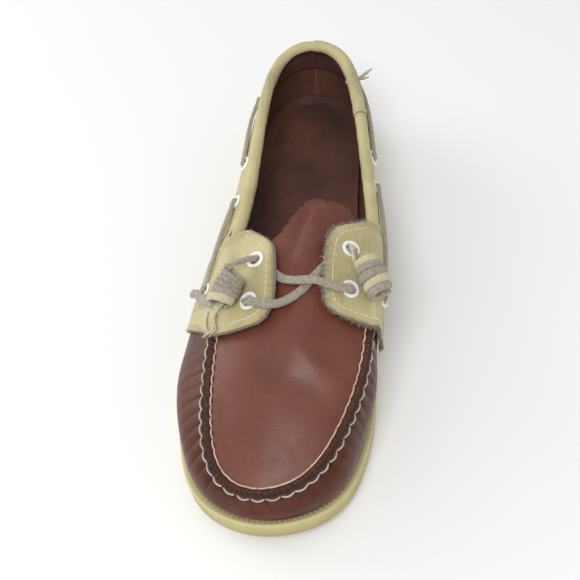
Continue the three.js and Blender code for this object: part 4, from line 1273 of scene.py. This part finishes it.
# %% Stitches
def stitch_tree(name, material):
    """One bent length of thread, set on every point."""
    tree, sizes = new_tree(name, Length=0.003, Thread=0.0004, Bow=0.0006, Flat=0.8)
    half = add(tree, "ShaderNodeMath", {0: sizes["Length"], 1: 0.5}, operation="MULTIPLY").outputs[0]
    back = add(tree, "ShaderNodeMath", {0: sizes["Length"], 1: -0.5}, operation="MULTIPLY").outputs[0]
    sunk = add(tree, "ShaderNodeMath", {0: sizes["Thread"], 1: -1.1}, operation="MULTIPLY").outputs[0]
    start = add(tree, "ShaderNodeCombineXYZ", {0: back, 2: sunk}).outputs[0]
    end = add(tree, "ShaderNodeCombineXYZ", {0: half, 2: sunk}).outputs[0]
    top = add(tree, "ShaderNodeCombineXYZ", {2: sizes["Bow"]}).outputs[0]
    arc = add(tree, "GeometryNodeCurveQuadraticBezier", {
        "Resolution": 7, "Start": start, "Middle": top, "End": end}).outputs[0]
    round_thread = ring_curve(tree, 7, sizes["Thread"])
    one = add(tree, "GeometryNodeCurveToMesh", {
        "Curve": arc, "Profile Curve": round_thread, "Fill Caps": True}).outputs[0]
    scale = carried(tree, "size")
    on_points = add(tree, "GeometryNodeInstanceOnPoints", {
        "Points": sizes["Geometry"], "Instance": one, "Rotation": turned_to(tree, "X", "Z"), "Scale": scale})
    end_tree(tree, on_points.outputs[0], material)
    return tree


def sizes_about_one(count, seed, spread_by=0.12):
    """Seeded sizes, so no two stitches are quite alike."""
    rng = np.random.default_rng(seed)
    return 1 + rng.uniform(-spread_by, spread_by, (count, 3)) * np.array([1, 0.6, 0.6])


def sew(name, path, surface, tree, pitch, seed, slot, lift=0.0, **sizes):
    """A row of stitches laid on a surface along a path."""
    even = resample(path, pitch)
    middles = (even[1:] + even[:-1]) / 2
    along = unit(even[1:] - even[:-1])
    rng = np.random.default_rng(seed)
    spots, out = laid(middles, surface)
    along = unit(along + rng.uniform(-0.05, 0.05, along.shape))
    spots = spots + out * lift
    row = grow(name, spots, tree, sizes, along=along, out=out, size=sizes_about_one(len(spots), seed))
    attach(row, "root")
    return row


IVORY_STITCH = stitch_tree("ivory stitch", IVORY_THREAD)
STRAW_STITCH = stitch_tree("straw stitch", YELLOW_THREAD)

# The inner row of the seam, flat on the apron's edge.
inner_holes, _ = even_lines("top", 54, 5.0, 15.0, closed=False)
inner_middles = (inner_holes[1:] + inner_holes[:-1]) / 2
middle, inner_way, outer_way, up, tangent = seam_frame(inner_middles)
at_tip = np.exp(-((np.abs(inner_middles - TOE_LINE) / 1.1) ** 2))[:, None]
rng = np.random.default_rng(81)
inner_stitches = grow(
    "seam_stitches_inner", middle + inner_way * 3.0 + up * (0.45 + 0.3 * at_tip), IVORY_STITCH,
    {"Length": 5.2 * MM, "Thread": 0.45 * MM, "Bow": 0.9 * MM},
    along=unit(tangent + rng.uniform(-0.05, 0.05, tangent.shape)), out=up,
    size=sizes_about_one(len(inner_middles), 81))
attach(inner_stitches, "root")

# The outer row bows out round each puff of the gathered wall.
first = math.ceil(float(seam_count(5.0)))
last = math.floor(float(seam_count(15.0)))
holes = np.interp(np.arange(first, last + 1) * STITCH_PITCH, seam_length, seam_lines)
between = (holes[1:] + holes[:-1]) / 2
middle, inner_way, outer_way, up, tangent = seam_frame(between)
off_hole = middle + outer_way * 2.75 + up * 0.55
bow_out = unit(outer_way * 0.75 + up * 0.75)
rng = np.random.default_rng(82)
outer_stitches = grow(
    "seam_stitches_outer", off_hole, IVORY_STITCH,
    {"Length": 6.3 * MM, "Thread": 0.45 * MM, "Bow": 1.9 * MM},
    along=unit(tangent + rng.uniform(-0.06, 0.06, tangent.shape)), out=bow_out,
    size=sizes_about_one(len(between), 82, 0.1))
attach(outer_stitches, "root")


# %% Stitches on the facings
def inset_path(edge, over, distance, reach):
    """A line on a facing at a steady distance inside its free edge."""
    path = smoothed(resample(edge, 0.8), 12)
    path = path[: int(reach * len(path))]
    middle = over[6:-6, 6:50].mean((0, 1))
    ahead = unit(np.gradient(path, axis=0))
    out = unit(over[8:40, 10:40].mean((0, 1)) - over.mean((0, 1)) + np.array([0, 0, 40.0]))
    inward = unit(np.cross(out, ahead))
    inward = inward * np.sign((inward * (middle - path)).sum(-1).mean())
    return smoothed(path + inward * distance, 10)


for side, reach in (("lateral", 0.93), ("medial", 0.9)):
    piece, edge, over, _ = facings[side]
    path = inset_path(edge, over, 4.2, reach)
    sew(f"facing_stitches_{side}", path, surface_of(piece), STRAW_STITCH, 3.1, 83, "tan_leather",
        Length=2.5 * MM, Thread=0.36 * MM, Bow=0.5 * MM)

# %% [markdown]
# ## Laces
# The lace is a flat strip, 4.4 mm wide. `strap` sweeps its rounded section along a path, and keeps its flat
# side turned to a given way out. The attribute "skin" says which face is the smooth cream one.

# %% Laces
LACE_WIDTH, LACE_THICK = 4.4, 2.3


def strap(name, path, out, skin=0.0, seed=0, width=LACE_WIDTH, thick=LACE_THICK, taper=0.0, finish=RAWHIDE):
    """A strip of rawhide along evenly spaced points, with its flat side turned to out."""
    path = np.asarray(path, float)
    ahead = unit(np.gradient(path, axis=0))
    out = np.broadcast_to(np.asarray(out, float), path.shape)
    out = unit(out - ahead * (out * ahead).sum(-1)[:, None])
    out = unit(smoothed(out, 3))
    side = np.cross(ahead, out)
    length = np.concatenate([[0], np.cumsum(np.linalg.norm(np.diff(path, axis=0), axis=1))])
    angle = np.linspace(0, 2 * np.pi, 16, endpoint=False) + np.pi / 16
    cx, cz = np.cos(angle), np.sin(angle)
    cx, cz = np.sign(cx) * np.abs(cx) ** 0.75, np.sign(cz) * np.abs(cz) ** 0.7
    ends = 1 - taper * smoothstep(length, length[-1] - 6, length[-1])
    uneven = 1 + 0.05 * wander(length, length * 0, 90 + seed, 14)
    fur = 0.09 * wander(length[:, None] * 3, angle[None] * 4, 91 + seed, 5)
    half_w, half_t = np.asarray(width) / 2 * ends * uneven, np.asarray(thick) / 2 * ends
    rings = (path[:, None] + side[:, None] * (half_w[:, None] * cx + fur * cx)[..., None]
             + out[:, None] * (half_t[:, None] * cz + fur * cz)[..., None])
    faces, _ = loft(rings)
    skin = np.broadcast_to(np.asarray(skin, float), len(path))
    towards = np.where(cz > 0.3, 1.0, 0.0)
    value = skin[:, None] * towards + (1 - skin[:, None]) * (np.where(cz < -0.3, 0.6, 0.0))
    return make_piece(name, rings, faces, [finish], skin=value.ravel()), length[-1]


def finish_lace(piece, *nodes):
    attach(piece, "root")
    if nodes:
        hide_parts(*nodes)


def through_eyelet(name, deep=3.2, high=1.9):
    """Points that come up out of an eyelet: from inside the leather to just over its rim."""
    spot, axis = eyelet_at[name]
    return spot - axis * deep, spot + axis * high


def side_run(side, start, stop, bulge):
    """A run of lace outside the wall, which dips into an eyelet at each end."""
    index = 0 if side == "medial" else 1
    lines = [SIDE_EYELETS[s][index] for s in (start, stop)]
    if side == "lateral":
        lines = [LINES - v for v in lines]
    t = np.linspace(0.07, 0.93, 7)
    line = lines[0] + (lines[1] - lines[0]) * t
    normal = wall_normal(line, SIDE_EYELET_HEIGHT)
    mid = wall(line, SIDE_EYELET_HEIGHT) + normal * (2.7 + bulge * np.sin(np.pi * t))[:, None]
    mid[:, 2] += 0.6 * np.sin(np.pi * t * 2)
    first_in, first_out = through_eyelet(f"eyelet_side_{side}_{start}", 2.6, 1.5)
    last_in, last_out = through_eyelet(f"eyelet_side_{side}_{stop}", 2.6, 1.5)
    path = through(np.concatenate([[first_in, first_out], mid, [last_out, last_in]]), 0.8)
    return path, smoothed(wall_normal(np.linspace(*lines, len(path)), SIDE_EYELET_HEIGHT), 4)


for side in ("medial", "lateral"):
    for label, start, stop, bulge in (("rear", "heel", "ankle", 0.5), ("front", "waist", "instep", 0.7)):
        path, out = side_run(side, start, stop, bulge)
        run, _ = strap(f"lace_{side}_{label}", path, out, 0.12, len(label) + len(side))
        finish_lace(run, f"lace_{side}_{label}_run")

# %% [markdown]
# The lace comes up through each front eyelet, drops off the facing's edge, crosses the tongue and goes under
# the other facing. One bar passes over the other.

# %% Crossing laces
CROSSING = {
    "eyelet_facing_lateral_front": [
        (3.72, 0.276, 9.0), (3.67, 0.339, 8.7), (3.64, 0.402, 8.0), (3.665, 0.451, 6.0), (3.77, 0.504, 3.1),
        (3.91, 0.563, 2.0), (4.09, 0.615, 2.0), (4.3, 0.675, 2.2), (4.46, 0.73, 2.4),
    ],
    "eyelet_facing_medial_front": [
        (3.96, 0.821, 9.4), (3.95, 0.757, 8.9), (3.97, 0.692, 8.4), (4.02, 0.64, 6.6), (4.03, 0.577, 5.0),
        (4.035, 0.511, 3.6), (4.08, 0.444, 2.4), (4.2, 0.37, 2.2),
    ],
}
for index, (eyelet, rows) in enumerate(CROSSING.items()):
    inside, _ = through_eyelet(eyelet, 2.4)
    spot, axis = eyelet_at[eyelet]
    bar = np.array([over_instep(*map(np.array, row)) for row in rows])
    lip = spot + axis * 1.0 + unit(bar[0] - spot) * 1.2
    path = through(np.concatenate([[inside, lip], bar]), 0.8)
    out = laid(path, surface_of(apron_and_tongue))[1]
    out = smoothed(np.where(out[:, 2:] < 0, -out, out), 12)
    piece, _ = strap(f"lace_bar_{index + 1}", path, out, 0.3 * (index == 0), 20 + index)
    finish_lace(piece, *(["lace_crossing"] if index == 0 else []))

# %% [markdown]
# ## Barrel knots
# Each free end comes up out of the rear eyelet and is wound round itself five or six times into a barrel.
# It is one strip with a real length. The path is a helix round the knot's
# axis, then a turn through the middle, and a short tail. The strip twists, so some turns show cream.

# %% Barrel knots
# bands: the width of each turn along the knot. lean: how each end's turns slant. cream: skin side out.
KNOTS = {
    "lateral": {"start": (4.13, 0.219, 13.2), "towards": (3.72, 0.142, 12.9), "radius": 5.2,
                "bands": (2.5, 2.5, 2.6, 2.8, 3.9, 4.1), "lean": (-0.32, 0.2), "tail": 7.0,
                "cream": (0.0, 0.0, 0.0, 0.0, 0.1, 1.0), "first": 35, "swell": (0.86, 1.0, 1.04)},
    "medial": {"start": (4.47, 0.855, 13.4), "towards": (4.02, 0.958, 12.6), "radius": 5.7,
               "bands": (4.0, 3.2, 3.5, 4.1, 4.1, 3.5), "lean": (-0.2, -0.03), "tail": 1.5,
               "cream": (1.0, 0.9, 0.0, 0.0, 1.0, 0.0), "first": 120, "swell": (0.8, 1.02, 0.86)},
}


def tie_knot(side, facts):
    """The end of the lace as one strap: a lead to the knot, the turns round it, and the tip."""
    start = over_instep(*map(np.array, facts["start"]))
    axis = unit(over_instep(*map(np.array, facts["towards"])) - start)
    spot, eyelet_axis = eyelet_at[f"eyelet_facing_{side}_rear"]
    up_way = unit(eyelet_axis - axis * (eyelet_axis @ axis))
    across = np.cross(axis, up_way)
    bands = np.array(facts["bands"])
    centres = np.concatenate([[bands[0] / 2], np.cumsum(bands)[:-1] + bands[1:] / 2])
    turns, radius = len(bands) - 0.6, facts["radius"]
    turn = np.linspace(0, turns, int(turns * 14))
    share = turn / turns
    angle = turn * 2 * np.pi + math.radians(facts["first"])
    along = np.interp(turn, np.arange(len(bands)), centres)
    belly = radius * np.interp(share, (0, 0.5, 1), facts["swell"]) + 0.2 * np.sin(turn * 11)
    lean = np.interp(share, (0, 1), facts["lean"]) * radius * np.sin(angle)
    way = np.cos(angle)[:, None] * up_way + np.sin(angle)[:, None] * across
    helix = start + axis * (along + lean)[:, None] + way * belly[:, None]
    lead = np.array([spot - eyelet_axis * 1.6, spot + eyelet_axis * 1.6,
                     (spot + eyelet_axis * 2.6) * 0.45 + helix[0] * 0.55 + eyelet_axis * 0.5])
    end = start + axis * bands.sum()
    sag = -up_way * 1.5
    tail = np.array([end - axis * 1.5 + way[-1] * radius * 0.35,
                     end + axis * (facts["tail"] * 0.5) + sag * 0.4,
                     end + axis * facts["tail"] + sag])
    path = through(np.concatenate([lead, helix, tail]), 0.85)
    depth = (path - start) @ axis
    centre = start + axis * depth[:, None]
    near_core = np.linalg.norm(path - centre, axis=1) < radius * 0.55
    out = np.where(near_core[:, None], up_way, unit(path - centre))
    out[: len(path) // 24] = eyelet_axis
    cream = np.interp(depth, centres, facts["cream"])
    width = smoothed(np.where(near_core | (depth < 0), 3.7, np.interp(depth, centres, bands) + 0.25), 3)
    thick = smoothed(np.where(near_core | (depth < 0), LACE_THICK, 5.6 - 0.62 * width), 3)
    piece, length = strap(f"knot_{side}", path, smoothed(out, 4), np.round(cream), 50 + len(side),
                          width=width, thick=thick, taper=0.25)
    finish_lace(piece, f"lace_end_{side}", f"barrel_knot_{side}")
    print("knot", side, "uses", round(float(length)), "mm of lace")


for side, facts in KNOTS.items():
    tie_knot(side, facts)

# %% [markdown]
# ## Wear
# A worn shoe has loose ends: the side lace doubles back over the outer facing and under its knot, a stitched
# tack holds the inner facing, thread ends fray over the facing's front, and the lace's other end sticks out
# at the heel. Each is a short strip laid on the facing's own grid of rows and columns.

# %% Loose ends
def on_facing(side, spots):
    """Places over a facing: grid row, grid column and height, as points and the ways out."""
    over = facings[side][2]
    normal = unit(np.cross(np.gradient(over, axis=0), np.gradient(over, axis=1)))
    normal = normal * np.sign((normal[..., 2]).mean())
    rows, columns, lifts = np.array(spots, float).T
    rows, columns = rows.astype(int), columns.astype(int)
    return over[rows, columns] + normal[rows, columns] * lifts[:, None], normal[rows, columns]


TUCK = [
    (22, 35, 1.3), (23, 40, 1.5), (26, 48, 1.7), (31, 58, 2.0), (36, 67, 2.4), (39, 74, 3.2), (41, 79, 2.4),
    (43, 82, 0.8),
]
tuck_points, _ = on_facing("lateral", TUCK)
tuck_path = through(tuck_points, 0.8)
tuck, _ = strap("lace_lateral_tuck", tuck_path, laid(tuck_path, surface_of(facings["lateral"][0]))[1], 0.1, 7)
finish_lace(tuck)

THREAD_ENDS = [
    [(21, 38, 0.5), (15, 36, 0.7), (10, 33, 0.6), (5, 31, 0.7), (1, 30, 0.9)],
    [(20, 46, 0.4), (14, 44, 0.6), (9, 39, 0.9), (5, 33, 0.8), (1, 33, 0.6)],
    [(12, 34, 0.5), (8, 29, 0.8), (4, 27, 0.7), (1, 26, 0.4)],
]
for index, spots in enumerate(THREAD_ENDS):
    points, out = on_facing("lateral", spots)
    points = np.concatenate([points, points[-1:] + (points[-1:] - points[-2:-1]) * 0.9 - [[0, 0, 0.8]]])
    end_path = through(points, 0.5)
    end, _ = strap(
        f"thread_end_{index + 1}", end_path, out.mean(0), 0, 30 + index, 0.95, 0.6, 0.5, IVORY_THREAD)
    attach(end, "root")

tack_rows = np.linspace(9, 17, 11)
tack_points, tack_out = on_facing("medial", [(r, 38, 0.15) for r in tack_rows])
tack_across = unit(on_facing("medial", [(r, 40, 0.15) for r in tack_rows])[0] - tack_points)
tack_sizes = {"Length": 2.6 * MM, "Thread": 0.35 * MM, "Bow": 0.5 * MM}
tack = grow("facing_tack", tack_points, STRAW_STITCH, tack_sizes,
            along=tack_across, out=tack_out, size=sizes_about_one(11, 84))
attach(tack, "root")

heel_spot, heel_axis = eyelet_at["eyelet_side_medial_heel"]
for index, (turn_y, turn_z, reach, wide) in enumerate(((1.2, 0.6, 10.0, 3.0), (-1.0, -0.4, 8.0, 1.6))):
    tail_points = [heel_spot - heel_axis, heel_spot + heel_axis * 2.2,
                   heel_spot + heel_axis * 5 + [1, turn_y, turn_z],
                   heel_spot + heel_axis * reach + [1.5, turn_y * 1.6, turn_z * 2]]
    tail_path = through(tail_points, 0.7)
    tail, _ = strap(f"lace_tail_{index + 1}", tail_path, [0, 0.4, 1.0], 0.6, 36 + index, wide, 1.5, 0.5)
    finish_lace(tail)


# %% [markdown]
# Cut leather sheds fibres. A tree sets a few hundred short bent hairs along the raw edges, each turned its
# own way and scaled by a seeded random size.

# %% Fibres on the raw edges
def fibre_tree(name, material):
    """One short bent hair, set on every point."""
    tree, sizes = new_tree(name, Length=0.0013, Thickness=0.00008)
    half = add(tree, "ShaderNodeMath", {0: sizes["Length"], 1: 0.5}, operation="MULTIPLY").outputs[0]
    lift = add(tree, "ShaderNodeMath", {0: sizes["Length"], 1: 0.35}, operation="MULTIPLY").outputs[0]
    middle = add(tree, "ShaderNodeCombineXYZ", {0: half, 2: lift}).outputs[0]
    end = add(tree, "ShaderNodeCombineXYZ", {0: sizes["Length"]}).outputs[0]
    hair = add(tree, "GeometryNodeCurveQuadraticBezier", {
        "Resolution": 3, "Start": (0, 0, 0), "Middle": middle, "End": end}).outputs[0]
    thin = ring_curve(tree, 3, sizes["Thickness"])
    one = add(tree, "GeometryNodeCurveToMesh", {
        "Curve": hair, "Profile Curve": thin, "Fill Caps": True}).outputs[0]
    scale = carried(tree, "size")
    on_points = add(tree, "GeometryNodeInstanceOnPoints", {
        "Points": sizes["Geometry"], "Instance": one, "Rotation": turned_to(tree, "X", "Z"), "Scale": scale})
    end_tree(tree, on_points.outputs[0], material)
    return tree


TAN_FIBRE = fibre_tree("tan fibre", TAN_EDGE)
BROWN_FIBRE = fibre_tree("brown fibre", TONGUE_EDGE)


def shed(name, top_edge, low_edge, middle, count, tree, seed, length):
    """Fibres that stand out from a raw edge, between its upper and its lower line."""
    rng = np.random.default_rng(seed)
    at, share = rng.uniform(0, len(top_edge) - 1.001, count), rng.uniform(0.1, 0.9, (count, 1))
    low, part = at.astype(int), (at % 1)[:, None]
    line_point = lambda edge: edge[low] * (1 - part) + edge[low + 1] * part
    points = line_point(top_edge) * share + line_point(low_edge) * (1 - share)
    away = unit(points - middle) + rng.normal(0, 0.45, (count, 3))
    size = np.repeat(rng.uniform(0.35, 1.5, (count, 1)), 3, 1)
    fibres = grow(name, points, tree, {"Length": length * MM, "Thickness": 0.085 * MM}, along=unit(away),
                  out=rng.normal(0, 1, (count, 3)), size=size)
    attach(fibres, "root")


for side, count, length in (("medial", 900, 1.5), ("lateral", 160, 0.9)):
    piece, edge, over, low_edge = facings[side]
    reach = int(len(edge) * 0.93)
    facing_middle = over[:60, 6:50].mean((0, 1))
    shed(f"facing_fibres_{side}", edge[:reach], low_edge[:reach], facing_middle, count, TAN_FIBRE, 86, length)
tongue_lines = np.concatenate([np.linspace(5.0, 5.57, 20), np.full(14, 5.57), np.linspace(5.57, 5.0, 20)])
table = np.array(TONGUE).T
tongue_across = np.concatenate([np.interp(tongue_lines[:20], table[0], table[1]), np.linspace(0.56, 0.76, 14),
                                np.interp(tongue_lines[34:], table[0], table[2])])
tongue_over = over_instep(tongue_lines, tongue_across, np.full(54, 1.0))
tongue_edge, _ = laid(tongue_over, surface_of(apron_and_tongue))
shed("tongue_fibres", tongue_edge, tongue_edge - [0, 0, 1.0], instep(4.7, 0.6), 420, BROWN_FIBRE, 87, 1.2)

# %% [markdown]
# ## Floor and light
# A plain pale floor, a bright even room, and two large soft lights: a broad key in front of the toe and
# high, and one from the outer side, so the leather shows its satin sheen and the gathers their soft shadows.

# %% Floor
FLOOR = 6.0
floor_mesh = bpy.data.meshes.new("floor")
floor_mesh.from_pydata([(-FLOOR, -FLOOR, 0), (FLOOR, -FLOOR, 0), (FLOOR, FLOOR, 0), (-FLOOR, FLOOR, 0)], [],
                       [(0, 1, 2, 3)])
floor = bpy.data.objects.new("floor", floor_mesh)
bpy.context.collection.objects.link(floor)
floor_material, floor_tree, floor_place = start_material("matt white paper")
finish_material(floor_tree, mixed(floor_tree, noise(floor_tree, floor_place, 300), "#f7f7f7", "#fafafa"), 0.9)
floor_mesh.materials.append(floor_material)

# %% Lights
world = bpy.data.worlds.new("white room")
world.use_nodes = True
world.node_tree.nodes["Background"].inputs["Color"].default_value = (1.0, 1.0, 1.0, 1.0)
world.node_tree.nodes["Background"].inputs["Strength"].default_value = 0.62
bpy.context.scene.world = world
bpy.context.scene.view_settings.view_transform = "Standard"


def softbox(name, place_m, size, power):
    """A round soft light that looks at the shoe."""
    light = bpy.data.lights.new(name, "AREA")
    light.shape = "DISK"
    light.size, light.energy = size, power
    holder = bpy.data.objects.new(name, light)
    holder.location = place_m
    holder.rotation_euler = (Vector((0, 0, 0.03)) - Vector(place_m)).to_track_quat("-Z", "Y").to_euler()
    bpy.context.collection.objects.link(holder)


softbox("key in front", (-0.1, -0.7, 1.15), 0.65, 7.5)
softbox("side", (-1.0, 0.35, 0.4), 0.9, 4.2)
